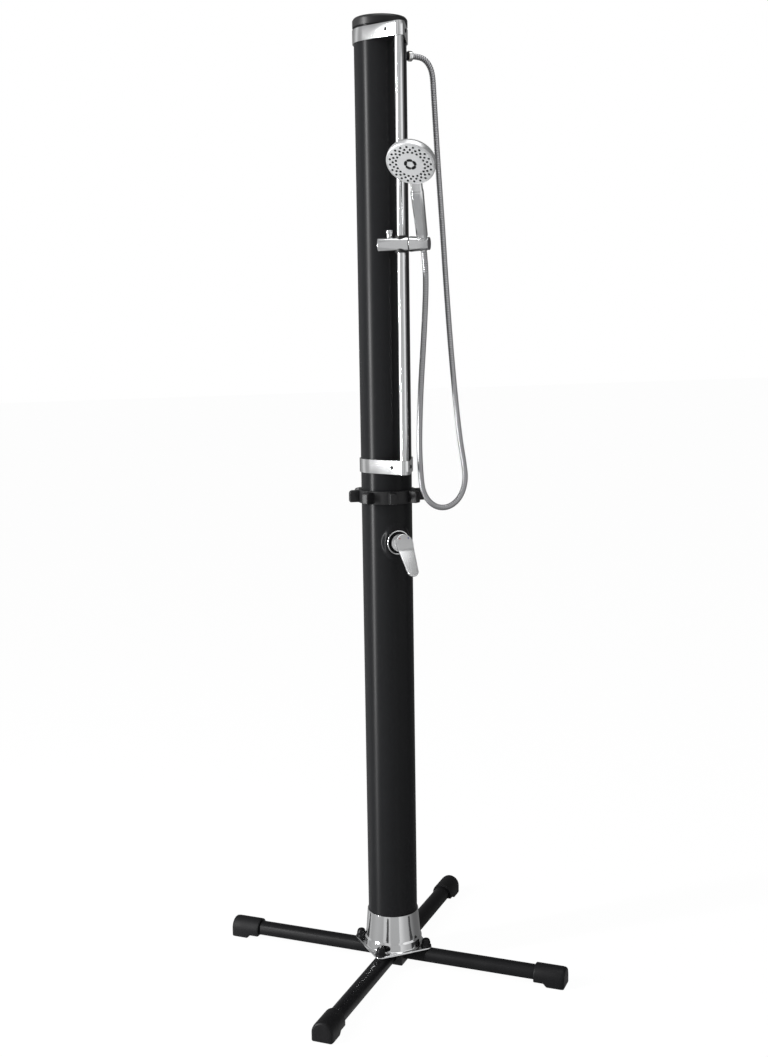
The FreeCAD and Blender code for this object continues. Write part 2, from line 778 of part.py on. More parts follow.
def make_mixer_body():
    """Brass body: a cup for the cartridge with cold, hot and mixed water ports."""
    cup = turned("mixer_cup", [
        (0, -mixer_back),
        (mixer_radius, -mixer_back),
        (mixer_radius, mixer_front),
        (0, mixer_front),
    ], None, (0, 0, 0), "Z", tap_frame)
    upright = cylinder("mixer_ports", port_radius, port_reach * 2, (0, 0, tap_height - port_reach))
    hot_port = cylinder("mixer_hot_port", port_radius - 1, port_reach - 8, (-hot_port_side, 0, tap_height))
    hot_arm = cylinder("mixer_hot_arm", port_radius - 2, hot_port_side, (0, 0, tap_height + 12), "-X")
    cavity = cylinder("mixer_cavity", mixer_bore, 80, (0, 0, cartridge_back), "Z", tap_frame)
    low_bore = cylinder("mixer_low_bore", port_bore, port_reach, (0, 0, tap_height - port_reach * 1.5))
    high_bore = cylinder("mixer_high_bore", port_bore, port_reach, (0, 0, tap_height + port_reach * 0.5))
    hot_bore = cylinder("mixer_hot_bore", port_bore, port_reach, (-hot_port_side, 0, tap_height + 16))
    return cut("mixer_body", fuse("mixer_solid", cup, upright, hot_port, hot_arm),
               cavity, low_bore, high_bore, hot_bore)


def make_cartridge():
    """Ceramic cartridge housing with a pocket for its turning rotor."""
    return turned("tap_cartridge", [
        (0, cartridge_back),
        (cartridge_radius, cartridge_back),
        (cartridge_radius, cartridge_top),
        (rotor_radius + 0.08, cartridge_top),
        (rotor_radius + 0.08, rotor_low - 0.3),
        (0, rotor_low - 0.3),
    ], None, (0, 0, 0), "Z", tap_frame)


def make_rotor():
    """Rotor with the stem that carries the lever pin."""
    body = turned("rotor_solid", [
        (0, rotor_low),
        (rotor_radius, rotor_low),
        (rotor_radius, cartridge_top),
        (stem_radius, cartridge_top),
        (stem_radius, lever_pivot + 5),
        (0, lever_pivot + 5),
    ], None, (0, 0, 0), "Z", tap_frame)
    hole = cylinder("rotor_pin_hole", lever_pin_radius, 30, (-15, 0, lever_pivot), "X", tap_frame)
    return cut("cartridge_rotor", body, hole)


def make_tap_nut():
    return turned("cartridge_nut", [
        (rotor_radius + 0.4, cartridge_top),
        (cartridge_radius, cartridge_top),
        (cartridge_radius, tap_nut_top),
        (rotor_radius + 0.4, tap_nut_top),
    ], None, (0, 0, 0), "Z", tap_frame)


def make_lever():
    """Die-cast handle: round base, slanted disc and the bent lever below it, on two ears."""
    base = cylinder("lever_base", tap_base_radius, 60, (0, 0, tap_base_low), "Z", tap_frame)
    face = frame("lever_face", (0, tap_disc_up, tap_disc_out), (1, 0, 0), -tap_disc_slant, tap_frame)
    above = box("lever_above_face", (-60, -60, -1), (60, 60, 80), inside=face)
    disc = cylinder("lever_disc", tap_disc_radius, lever_plate, (0, 0, -lever_plate), "Z", face)
    bend = frame("lever_bend_frame", (0, -lever_bend_drop, 0), (1, 0, 0), -lever_bend, face)
    tip_centre = lever_tip_radius - lever_length
    blade = plate("lever_blade", [
        (-lever_root_half, 3),
        (-lever_root_half, 0),
        (-lever_tip_radius, tip_centre),
        (lever_tip_radius, tip_centre),
        (lever_root_half, 0),
        (lever_root_half, 3),
    ], {2: ("y", tip_centre, True)}, -lever_plate, 0, (0, 0, 0), "Z", bend)
    ear_in = stem_radius + 3.3
    solids = [cut("lever_base_cut", base, above), disc, blade]
    for side in (-1, 1):
        low, high = (ear_in, ear_in + 4) if side > 0 else (-ear_in - 4, -ear_in)
        solids.append(box("lever_ear_%d" % (side + 1), (low, -4.5, lever_pivot - 4),
                          (high, 4.5, tap_base_low + 4), inside=tap_frame))
    pocket = cylinder("lever_pocket", ear_in, 10, (0, 0, tap_base_low - 1), "Z", tap_frame)
    pin_hole = cylinder("lever_pin_hole", lever_pin_radius + 0.06, 40, (-20, 0, lever_pivot), "X", tap_frame)
    screw_hole = cylinder("lever_screw_hole", 2, 14, (0, -ear_in + 2, tap_base_low + 6), "-Y", tap_upright)
    return cut("tap_lever", fuse("lever_solid", *solids), pocket, pin_hole, screw_hole)


tap_upright = frame("tap_upright", (0, 0, 0), (0, 0, 1), 0, tap_frame)

keep(make_mixer_body())
keep(make_cartridge())
keep(make_rotor())
keep(make_tap_nut())
keep(cylinder("lever_pin", lever_pin_radius, (stem_radius + 6.8) * 2, (-(stem_radius + 6.8), 0, lever_pivot),
              "X", tap_frame))
keep(turned("trim_ring", [
    (ring_hole, boss_face),
    (ring_radius, boss_face),
    (ring_radius, boss_face + ring_height - 1),
    (ring_radius - 1, boss_face + ring_height),
    (ring_hole + 0.8, boss_face + ring_height),
    (ring_hole, boss_face + ring_height - 0.8),
], None, (0, 0, 0), "Z", tap_frame))
keep(make_lever())
keep(cylinder("lever_set_screw", 1.95, 9, (0, -(stem_radius + 4), tap_base_low + 6), "-Y", tap_upright))


# ---------------------------------------------------------------- pipes, inlet and outlet
def make_bend(name, radius, centre, axis, turn):
    """Quarter bend of a pipe: part of a torus."""
    bend = doc.addObject("Part::Torus", name)
    bend.setExpression("Radius1", pipe_bend.text)
    bend.setExpression("Radius2", length(radius).text)
    bend.Angle3 = 90
    return put(bend, centre, None, None, axis, turn)


def bent_pipe(name, straight, level, centre, axis, turn):
    """Pipe with an upright run, a quarter bend and a level run into a fitting."""
    parts = []
    for tag, radius in (("wall", pipe_radius), ("bore", pipe_radius - pipe_wall)):
        upright = cylinder("%s_%s_up" % (name, tag), radius, straight[1], straight[0])
        side = cylinder("%s_%s_side" % (name, tag), radius, level[1], level[0], level[2])
        bend = make_bend("%s_%s_bend" % (name, tag), radius, centre, axis, turn)
        parts.append(fuse("%s_%s" % (name, tag), upright, side, bend))
    return cut(name, parts[0], parts[1])


def make_inlet():
    """Hose connector at the back: hexagon, garden-hose thread and a shank into the tank."""
    seat = post_radius + 1.5
    shank = cylinder("inlet_shank", port_radius, 30, (0, seat - 18, inlet_height), "Y")
    collar = hexagon("inlet_hexagon", inlet_hex, inlet_hex_height, (0, seat, inlet_height), "Y")
    thread = cylinder("inlet_thread", inlet_thread_radius, inlet_thread_length,
                      (0, seat + inlet_hex_height, inlet_height), "Y")
    bore = cylinder("inlet_bore_hole", inlet_bore, 80, (0, seat - 20, inlet_height), "Y")
    return cut("water_inlet", fuse("inlet_solid", shank, collar, thread), bore)


def make_inlet_gasket():
    disc = cylinder("inlet_gasket_disc", inlet_thread_radius, 6, (0, post_radius - 4.5, inlet_height), "Y")
    post = cylinder("inlet_gasket_post", post_radius, 60, (0, 0, inlet_height - 30))
    hole = cylinder("inlet_gasket_hole", port_radius + fit_gap, 20, (0, post_radius - 10, inlet_height), "Y")
    return cut("inlet_gasket", disc, post, hole)


def make_outlet_gasket():
    disc = cylinder("outlet_gasket_disc", outlet_gasket_radius, outlet_gasket_end - post_radius + 3,
                    (post_radius - 3, 0, outlet_height), "X")
    post = cylinder("outlet_gasket_post", post_radius, 60, (0, 0, outlet_height - 30))
    hole = cylinder("outlet_gasket_hole", shank_radius + fit_gap, 30,
                    (post_radius - 10, 0, outlet_height), "X")
    return cut("outlet_gasket", disc, post, hole)


def make_outlet_nipple():
    """Threaded nipple through the tank wall for the hose nut."""
    back = post_radius - 14
    seat = outlet_gasket_end
    tip = seat + thread_length
    return turned("outlet_nipple", [
        (pipe_radius + fit_gap, back),
        (pipe_radius + fit_gap + 0.4, back),
        (shank_radius, back + 0.4),
        (shank_radius, seat),
        (thread_radius, seat),
        (thread_radius, tip),
        (shank_bore, tip),
        (shank_bore, back + 7),
        (pipe_radius + fit_gap, back + 7),
    ], None, (0, 0, outlet_height), "X")


outlet_tip = outlet_gasket_end + thread_length
hose_start = outlet_gasket_end + hose_nut_length


def make_hose_nut():
    """Hexagonal nut of the hose with a chamfered front, over the nipple's thread."""
    nut = hexagon("hose_nut_hexagon", hose_nut_radius * 1.06, hose_nut_length - 0.3,
                  (outlet_gasket_end + 0.3, 0, outlet_height), "X")
    skin = turned("hose_nut_skin", [
        (0, outlet_gasket_end),
        (hose_nut_radius, outlet_gasket_end),
        (hose_nut_radius, hose_start - 3),
        (hose_nut_radius - 2.2, hose_start),
        (0, hose_start),
    ], {2: ("x", hose_nut_radius - 3.5, True)}, (0, 0, outlet_height), "X")
    bore = turned("hose_nut_bore", [
        (0, outlet_gasket_end - 1),
        (thread_radius + 0.05, outlet_gasket_end - 1),
        (thread_radius + 0.05, outlet_tip + 1.2),
        (hose_bore, outlet_tip + 1.2),
        (hose_bore, hose_start + 1),
        (0, hose_start + 1),
    ], None, (0, 0, outlet_height), "X")
    return cut("hose_nut", common("hose_nut_round", nut, skin), bore)


keep(bent_pipe("cold_pipe",
               ((0, 0, inlet_height + pipe_bend), tap_height - port_reach * 0.6 - inlet_height - pipe_bend),
               ((0, pipe_bend, inlet_height), post_radius - 17 - pipe_bend, "Y"),
               (0, pipe_bend, inlet_height + pipe_bend), (-1, 1, -1), 120))
keep(make_inlet())
keep(make_inlet_gasket())
keep(cut("riser_lower",
         cylinder("riser_lower_wall", pipe_radius, neck_low - tap_height - port_reach * 0.6,
                  (0, 0, tap_height + port_reach * 0.6)),
         cylinder("riser_lower_bore", pipe_radius - pipe_wall, neck_low - tap_height + 1,
                  (0, 0, tap_height))))
keep(turned("riser_coupling", [
    (pipe_radius + fit_gap, neck_low - 14),
    (pipe_radius + 3, neck_low - 14),
    (pipe_radius + 3, neck_low + 22),
    (pipe_radius + fit_gap, neck_low + 22),
    (pipe_radius + fit_gap, neck_low + 3),
    (pipe_radius - pipe_wall, neck_low + 3),
    (pipe_radius - pipe_wall, neck_low),
    (pipe_radius + fit_gap, neck_low),
]))
keep(bent_pipe("riser_upper",
               ((0, 0, neck_low + 3), outlet_height - pipe_bend - neck_low - 3),
               ((pipe_bend, 0, outlet_height), post_radius - 7.2 - pipe_bend, "X"),
               (pipe_bend, 0, outlet_height - pipe_bend), (0, 1, 1), 180))
keep(cut("hot_water_pipe",
         cylinder("hot_pipe_wall", pipe_radius, hot_pipe_top - tap_height - 16,
                  (-hot_port_side, 0, tap_height + 16)),
         cylinder("hot_pipe_bore", pipe_radius - pipe_wall, hot_pipe_top, (-hot_port_side, 0, tap_height))))
keep(make_outlet_gasket())
keep(make_outlet_nipple())
keep(make_hose_nut())


# ---------------------------------------------------------------- rail, bands and spacers
rail_low = lower_band_low + rail_inset
rail_high = upper_band_high - rail_inset
rail_seat = rail_radius + fit_gap
post_seat = post_radius + fit_gap
band_slant = arcsine((post_radius - rail_radius) / rail_distance)
flat_x = cosine(band_slant)
flat_y = sine(band_slant)


def belt(name, extra, low, high):
    """Shape of a belt drawn round post and rail, `extra` outside both."""
    big = post_seat + extra
    small = rail_seat + extra
    corners = [
        (-(big * flat_x), -(big * flat_y)),
        (-(small * flat_x), -(rail_distance + small * flat_y)),
        (small * flat_x, -(rail_distance + small * flat_y)),
        (big * flat_x, -(big * flat_y)),
    ]
    middle = plate(name + "_middle", corners, None, low, high)
    post = cylinder(name + "_post", big, length(high) - low, (0, 0, low))
    rail = cylinder(name + "_rail", small, length(high) - low, (0, -rail_distance, low))
    return middle, post, rail


def make_band(name, low, high):
    """Chromed strap closed round the post and the rail, drilled for its two screws."""
    outside = fuse(name + "_outside", *belt(name + "_out", band_wall, low, high))
    inside = fuse(name + "_inside", *belt(name + "_in", 0, low - 1, high + 1))
    middle_height = (low + high) / 2
    holes = [screw_solid(name + "_hole_%d" % side, side, middle_height, band_screw_radius + 0.1)
             for side in (-1, 1)]
    return cut(name, outside, inside, *holes)


def screw_frame(name, side, height):
    """Frame on a band's flat side, its Z pointing out of the side."""
    turn = 180 + band_slant if side < 0 else -band_slant
    return frame(name + "_frame", (0, 0, height), turn=turn)


def screw_solid(name, side, height, radius):
    flat = screw_frame(name, side, height)
    return cylinder(name, radius, 40, (post_seat - 12, -side * band_screw_place, 0), "X", flat)


def make_spacer(name, low, high):
    """Plastic block that fills the band between post and rail."""
    middle = belt(name + "_in", 0 - fit_gap, low, high)[0]
    tool_height = high - low + 20
    post_tool = cylinder(name + "_post_tool", post_seat, tool_height, (0, 0, low - 10))
    rail_tool = cylinder(name + "_rail_tool", rail_seat, tool_height, (0, -rail_distance, low - 10))
    height = (low + high) / 2
    holes = [screw_solid(name + "_hole_%d" % side, side, height, band_screw_radius) for side in (-1, 1)]
    return cut(name, middle, post_tool, rail_tool, *holes)


def make_band_screws():
    """Black countersunk screws through the bands into the spacers."""
    screws = []
    face = post_seat + band_wall
    for band, low, high in (("upper", upper_band_low, upper_band_high),
                            ("lower", lower_band_low, lower_band_high)):
        for side in (-1, 1):
            name = "band_screw_%s_%d" % (band, side + 1)
            flat = screw_frame(name, side, (low + high) / 2)
            body = turned(name, [
                (0, face - 12),
                (band_screw_radius, face - 12),
                (band_screw_radius, face),
                (band_screw_head, face),
                (band_screw_head, face + 0.8),
                (band_screw_head - 1.2, face + 2),
                (0, face + 2),
            ], None, (0, -side * band_screw_place, 0), "X", flat)
            socket = hexagon(name + "_socket", 1.7, 3, (face + 0.4, -side * band_screw_place, 0), "X", flat)
            screws.append(cut(name + "_cut", body, socket))
    return group("band_screws", screws)


def make_rail_plugs():
    plug_radius = rail_radius - rail_wall - fit_gap
    low = cylinder("rail_plug_low", plug_radius, 8, (0, -rail_distance, rail_low))
    high = cylinder("rail_plug_high", plug_radius, 8, (0, -rail_distance, rail_high - 8))
    return group("rail_end_plugs", [low, high])


keep(ring("slide_rail", rail_radius - rail_wall, rail_radius, rail_low, rail_high, (0, -rail_distance, 0)))
keep(make_rail_plugs())
keep(make_band("upper_band", upper_band_low, upper_band_high))
keep(make_band("lower_band", lower_band_low, lower_band_high))
keep(group("band_spacers", [
    make_spacer("upper_spacer", upper_band_low + 2, upper_band_high - 2),
    make_spacer("lower_spacer", lower_band_low + 2, lower_band_high - 2),
]))
keep(make_band_screws())


# ---------------------------------------------------------------- slider on the rail
slider_frame = frame("slider_frame", (0, -rail_distance, slider_height), turn=slider_turn)
bush_seat = bush_radius + 0.08
washer_low = slider_right + 0.1
swivel_low = washer_low + friction_washer_height
button_hole = button_radius + 0.08
cavity_low = -(slider_left - slider_plug_height)
cavity_high = -(bush_radius + 1.5)


def make_bushes():
    """Two flanged bushes, one from above and one from below, that run on the rail."""
    bore = rail_radius + bush_gap
    bushes = []
    for name, way in (("upper", "Z"), ("lower", "-Z")):
        bushes.append(turned("bush_" + name, [
            (bore, 0.2),
            (bush_radius, 0.2),
            (bush_radius, bush_flange_low),
            (bush_flange_radius, bush_flange_low),
            (bush_flange_radius, bush_flange_high - 1),
            (bush_flange_radius - 1, bush_flange_high),
            (bore, bush_flange_high),
        ], None, (0, 0, 0), way, slider_frame))
    return group("rail_bushes", bushes)


def make_slider_body():
    """Chromed barrel across the rail with the cavity for button, spring and brake shoe."""
    shell = turned("slider_shell", [
        (0, -slider_left),
        (slider_radius - 1.2, -slider_left),
        (slider_radius, -slider_left + 1.2),
        (slider_radius, slider_right),
        (0, slider_right),
    ], None, (0, 0, 0), "X", slider_frame)
    bore = cylinder("slider_rail_bore", bush_seat, 80, (0, 0, -40), "Z", slider_frame)
    seats = [ring("slider_seat_" + way.strip("-") + str(len(way)), 0, bush_flange_radius + 0.1,
                  bush_flange_low - 0.1, 30, (0, 0, 0), way, slider_frame) for way in ("Z", "-Z")]
    cavity = cylinder("slider_cavity", slider_bore, slider_left - bush_radius - 1.5,
                      (-slider_left, 0, 0), "X", slider_frame)
    window = box("slider_shoe_window", (-(bush_radius + 4), -4.2, -5.2), (-(bush_radius - 4), 4.2, 5.2),
                 inside=slider_frame)
    hole = cylinder("slider_button_hole", button_hole, 30, (-button_place, 0, 0), "Z", slider_frame)
    screw = cylinder("slider_screw_hole", 3, 12, (slider_right - 5, 0, 0), "X", slider_frame)
    return cut("slider_body", shell, bore, *seats, cavity, window, hole, screw)


def make_button():
    """Release button: press it down and its wedge draws the brake shoe off the rail."""
    low = -2.0
    return turned("release_button", [
        (0, low),
        (button_radius, low),
        (button_radius, button_top - 8),
        (button_cap_radius, button_top - 7),
        (button_cap_radius, button_top - 1),
        (button_cap_radius - 1, button_top),
        (0, button_top),
    ], None, (-button_place, 0, 0), "Z", slider_frame)


def corner_arc(start, corner, end):
    """Arc that leaves `start` towards the corner and reaches `end`, as far from it, along the other side."""
    back = start - corner
    inward = back + (end - corner)
    half_turn = (math.pi - back.getAngle(end - corner)) / 2
    radius = back.Length / math.tan(half_turn)
    inward.normalize()
    middle = corner + inward * (math.hypot(radius, back.Length) - radius)
    return Part.Arc(start, middle, end).toShape()


def coil_path(radius, pitch, turns):
    """Rising coil as two tangent arcs for each quarter turn."""
    def place(quarter):
        angle = quarter * math.pi / 2
        return V(radius * math.cos(angle), radius * math.sin(angle), pitch * quarter / 4)

    def heading(quarter):
        angle = quarter * math.pi / 2
        along = V(-radius * math.sin(angle), radius * math.cos(angle), pitch / (2 * math.pi))
        along.normalize()
        return along

    edges = []
    for quarter in range(turns * 4):
        start, end = place(quarter), place(quarter + 1)
        first, last = heading(quarter), heading(quarter + 1)
        chord = end - start
        spread = 2 * (1 - first.dot(last))
        lean = chord.dot(first + last)
        reach = (math.sqrt(lean ** 2 + spread * chord.dot(chord)) - lean) / spread
        low_corner = start + first * reach
        high_corner = end - last * reach
        join = (low_corner + high_corner) / 2
        edges.append(corner_arc(start, low_corner, join))
        edges.append(corner_arc(join, high_corner, end))
    return Part.Wire(edges)


def make_button_spring():
    """Coil spring under the button."""
    turns = 5
    low = -math.sqrt(slider_bore.value ** 2 - spring_radius.value ** 2) + spring_wire.value
    high = -2.3 - spring_wire.value
    coil = coil_path(spring_radius.value, (high - low) / turns, turns)
    section = Part.Wire([Part.Circle(V(spring_radius.value, 0, 0), V(0, 1, 0),
                                     spring_wire.value / 2).toShape()])
    spring = doc.addObject("Part::Feature", "button_spring")
    spring.Shape = coil.makePipeShell([section], True, False)
    return put(spring, (-button_place, 0, low), "Z", slider_frame)


keep(make_bushes())
keep(make_slider_body())
keep(make_button())
keep(make_button_spring())
keep(box("brake_shoe", (-(bush_radius + 7), -4, -5), (-(bush_radius + 0.4), 4, 5), inside=slider_frame))
keep(ring("slider_end_plug", 0, slider_bore - fit_gap, -slider_left + 0.4, cavity_low,
          (0, 0, 0), "X", slider_frame))
keep(ring("friction_washer", 3.2, slider_radius - 2, washer_low, swivel_low - 0.1,
          (0, 0, 0), "X", slider_frame))


# ---------------------------------------------------------------- swivelling holder
swivel_frame = frame("swivel_frame", (0, 0, 0), (1, 0, 0), holder_tilt, slider_frame)
seat_frame = frame("seat_frame", (holder_place, 0, 0), (0, 0, 1), handset_twist, swivel_frame)
cone_half_height = swivel_root_radius - nut_inset
seat_slope = (cone_top_radius - cone_bottom_radius) / (cone_half_height * 2)


def make_holder():
    """Tapered barrel with the conical seat for the hose nut and a slot at its back for the hose."""
    barrel = turned("holder_barrel", [
        (0, swivel_low),
        (swivel_root_radius - 0.8, swivel_low),
        (swivel_root_radius, swivel_low + 0.8),
        (swivel_tip_radius, swivel_end),
        (0, swivel_end),
    ], None, (0, 0, 0), "X", swivel_frame)
    seat = cone("holder_seat", cone_bottom_radius + cone_gap - seat_slope * 10,
                cone_top_radius + cone_gap + seat_slope * 10, cone_half_height * 2 + 20,
                (holder_place, 0, -cone_half_height - 10), "Z", swivel_frame)
    slot = box("holder_slot", (holder_place - slot_half, 0, -40), (holder_place + slot_half, 30, 40),
               inside=swivel_frame)
    screw_hole = cylinder("holder_screw_hole", 3.1, 30, (swivel_low - 1, 0, 0), "X", swivel_frame)
    head_hole = cylinder("holder_head_hole", 6.2, 40, (swivel_low + 8, 0, 0), "X", swivel_frame)
    mouth = cylinder("holder_mouth", 9, 12, (swivel_end - 3, 0, 0), "X", swivel_frame)
    return cut("handset_holder", barrel, seat, slot, screw_hole, head_hole, mouth)


keep(make_holder())
keep(turned("holder_screw", [
    (0, slider_right - 4.5),
    (2.95, slider_right - 4.5),
    (2.95, swivel_low + 8.1),
    (6, swivel_low + 8.1),
    (6, swivel_low + 11.5),
    (0, swivel_low + 11.5),
], None, (0, 0, 0), "X", slider_frame))
keep(turned("holder_end_cap", [
    (0, swivel_end - 1.6),
    (8.9, swivel_end - 1.6),
    (8.9, swivel_end + 0.1),
    (swivel_tip_radius, swivel_end + 0.1),
    (swivel_tip_radius, swivel_end + swivel_cap_height - 0.8),
    (swivel_tip_radius - 0.8, swivel_end + swivel_cap_height),
    (0, swivel_end + swivel_cap_height),
], None, (0, 0, 0), "X", swivel_frame))


# ---------------------------------------------------------------- handset
nut_low = -cone_half_height
nut_high = cone_half_height
handle_low = nut_high + handle_gap
head_frame = frame("head_frame", (0, 0 - head_ahead, head_distance), (1, 0, 0), 90 + head_slant,
                   seat_frame)
hollow_radius = head_radius - head_wall


def make_cone_nut():
    """Conical hose nut: it turns on the handset's thread and sits in the holder."""
    return turned("handset_cone_nut", [
        (hose_bore, nut_low),
        (cone_bottom_radius - 0.6, nut_low),
        (cone_bottom_radius, nut_low + 0.6),
        (cone_top_radius, nut_high - 0.1),
        (cone_top_radius, handle_low - 0.1),
        (8.1, handle_low - 0.1),
        (8.1, nut_high - 12),
        (hose_bore, nut_high - 12),
    ], None, (0, 0, 0), "Z", seat_frame)


def handle_section(body, half_width, half_depth, height):
    """Bevelled rectangle across the handle."""
    inner_x = half_width - handle_bevel
    inner_y = half_depth - handle_bevel
    return sketch(body, "XY_Plane", [
        (inner_x, -half_depth), (half_width, -inner_y), (half_width, inner_y), (inner_x, half_depth),
        (-inner_x, half_depth), (-half_width, inner_y), (-half_width, -inner_y), (-inner_x, -half_depth),
    ], None, height)


def make_handset_body():
    """Chromed handle and drum-shaped head in one piece, hollow for the waterway."""
    handle = new_body("handset_handle")
    lower = handle_section(handle, handle_bottom_half, handle_depth_half, handle_low)
    upper = handle_section(handle, handle_top_half, handle_depth_half, nut_high + handle_length)
    loft = handle.newObject("PartDesign::AdditiveLoft", "handle_loft")
    loft.Profile = lower
    loft.Sections = [upper]
    loft.Ruled = True
    put(handle, inside=seat_frame)
    neck_half = handle_top_half - 1.5
    neck = box("handset_neck", (-neck_half, -7, nut_high + handle_length - 2),
               (neck_half, 10, head_distance - head_radius + 22), inside=seat_frame)
    drum = turned("handset_drum", [
        (0, -head_height - 2),
        (head_radius - 12, -head_height),
        (head_radius - 2, -head_height + 7),
        (head_radius, -head_height + 13),
        (head_radius, -1.5),
        (head_radius - 1.5, 0),
        (0, 0),
    ], None, (0, 0, 0), "Z", head_frame)
    hollow = turned("handset_hollow", [
        (0, -head_height + 1.5),
        (head_radius - 14, -head_height + 3),
        (hollow_radius, -head_height + 14),
        (hollow_radius, 1),
        (0, 1),
    ], None, (0, 0, 0), "Z", head_frame)
    channel = cylinder("handset_channel", waterway_radius + 0.1, head_distance - nut_high - 40,
                       (0, 0, nut_high - 1), "Z", seat_frame)
    return cut("handset_body", fuse("handset_solid", handle, neck, drum), hollow, channel)


def make_spray_face():
    """Face plate that turns in the head to choose the spray."""
    rim = face_radius
    body = turned("spray_face_solid", [
        (0, -face_height),
        (rim, -face_height),
        (rim, -0.6),
        (rim - 0.6, 0),
        (jet_ring_radius + jet_half_width + 2, 0.4),
        (0, 0.4),
    ], None, (0, 0, 0), "Z", head_frame)
    holes = nozzle_solids("face_hole", nozzle_radius + 0.05, -6, 12)
    holes.append(jet_slots("face_slot", jet_half_width + 0.05, -face_height - 1, 3))
    return cut("spray_face", body, *holes)


def nozzle_solids(name, radius, low, span):
    """Three staggered rings of round pins, as one polar pattern each."""
    rings = []
    for index, share in enumerate((0.84, 0.715, 0.59)):
        body = new_body("%s_ring_%d" % (name, index))
        place = head_radius * share
        drawing = body.newObject("Sketcher::SketchObject", body.Name + "_sketch")
        drawing.AttachmentSupport = [(origin_plane(body, "XY_Plane"), "")]
        drawing.MapMode = "FlatFace"
        drawing.setExpression("AttachmentOffset", place_text((0, 0, low), (0, 0, 1), 0))
        circle = drawing.addGeometry(Part.Circle(V(place.value, 0, 0), V(0, 0, 1), length(radius).value))
        drawing.addConstraint(Sketcher.Constraint("PointOnObject", circle, 3, -1))
        bind(drawing, Sketcher.Constraint("DistanceX", -1, 1, circle, 3, place.value), place)
        bind(drawing, Sketcher.Constraint("Radius", circle, length(radius).value), radius)
        pad = body.newObject("PartDesign::Pad", body.Name + "_pad")
        pad.Profile = drawing
        pad.setExpression("Length", length(span).text)
        pattern = body.newObject("PartDesign::PolarPattern", body.Name + "_pattern")
        pattern.Originals = [pad]
        pattern.Axis = (origin_axis(body, "Z_Axis"), [""])
        pattern.Angle = 360
        pattern.setExpression("Occurrences", nozzle_count.text)
        body.Tip = pattern
        put(body, (0, 0, 0), None, head_frame, (0, 0, 1), index * 180 / nozzle_count)
        rings.append(body)
    return rings


def jet_slots(name, half_width, low, high):
    """Five curved slots round the centre: short arcs of a ring."""
    whole = ring(name + "_whole", jet_ring_radius - half_width, jet_ring_radius + half_width,
                 low, high, (0, 0, 0), "Z", head_frame)
    gap_half = jet_gap_half + jet_half_width - half_width
    gaps = []
    for index in range(int(jet_count.value)):
        turn = index * 360 / jet_count
        gaps.append(box("%s_gap_%d" % (name, index), (0, -gap_half, -20), (30, gap_half, 20),
                        inside=head_frame, turn=turn))
    return cut(name, whole, *gaps)


def make_nozzle_mat():
    """Black rubber mat behind the face: its nubs and five curved ribs fill the face's holes."""
    mat = ring("nozzle_mat_disc", 0, face_radius - 1.5, -face_height - 1.6, -face_height,
               (0, 0, 0), "Z", head_frame)
    pins = nozzle_solids("nozzle_pin", nozzle_radius, -face_height - 1, face_height + 1 + nozzle_stand)
    ribs = jet_slots("jet_ribs", jet_half_width, -face_height - 1, 0.1)
    return fuse("nozzle_mat", mat, ribs, *pins)


keep(make_cone_nut())
keep(make_handset_body())
keep(turned("handset_stem", [
    (waterway_radius - 1.5, nut_high - 11),
    (8.0, nut_high - 11),
    (8.0, handle_low),
    (waterway_radius, handle_low),
    (waterway_radius, nut_high + handle_length - 10),
    (waterway_radius - 1.5, nut_high + handle_length - 10),
], None, (0, 0, 0), "Z", seat_frame))
keep(make_spray_face())
keep(make_nozzle_mat())


# ---------------------------------------------------------------- shower hose
def seat_point(height):
    """Point on the handset's axis below its seat, at rest."""
    tilt = math.radians(holder_tilt.value)
    turn = math.radians(slider_turn.value)
    across = V(math.cos(turn), math.sin(turn), 0)
    ahead = V(math.sin(turn), -math.cos(turn), 0)
    along = V(0, 0, math.cos(tilt)) + ahead * math.sin(tilt)
    centre = V(0, -rail_distance.value, slider_height.value) + across * holder_place.value
    return centre + along * height


hose_end = -cone_half_height.value
hose_points = [
    V(hose_start.value, 0, outlet_height.value),
    V(97, 0, outlet_height.value),
    V(112.5, 1, 2113),
    V(123.5, 2, 2099.5),
    V(129.5, 3, 2081),
    V(132, 4, 2046),
    V(134, 1, 1985),
    V(137, -6, 1875),
    V(140, -19, 1745),
    V(141.5, -33, 1610),
    V(143.5, -50, 1470),
    V(148, -65, 1345),
    V(154, -73, 1262),
    V(161, -77, 1212),
    V(165, -80, 1168),
    V(150, -82, 1129),
    V(119, -82, 1107),
    V(81, -84, 1112),
    V(53, -84, 1144),
    V(47, -85, 1197),
    V(44, -87, 1267),
    V(47, -92, 1385),
    V(54, -98.5, 1510),
    V(56.5, -105, 1605),
    seat_point(hose_end - 32),
    seat_point(hose_end),
]


def arc_route(points):
    """Straight runs joined by tangent arcs: a list of edges and the radii."""
    edges = []
    radii = []
    last = points[0]
    for before, corner, after in zip(points, points[1:], points[2:]):
        back = before - corner
        ahead = after - corner
        reach = 0.45 * min(back.Length, ahead.Length)
        back.normalize()
        ahead.normalize()
        start = corner + back * reach
        end = corner + ahead * reach
        edges.append(Part.LineSegment(last, start).toShape())
        edges.append(corner_arc(start, corner, end))
        radii.append(edges[-1].Curve.Radius)
        last = end
    edges.append(Part.LineSegment(last, points[-1]).toShape())
    return edges, radii


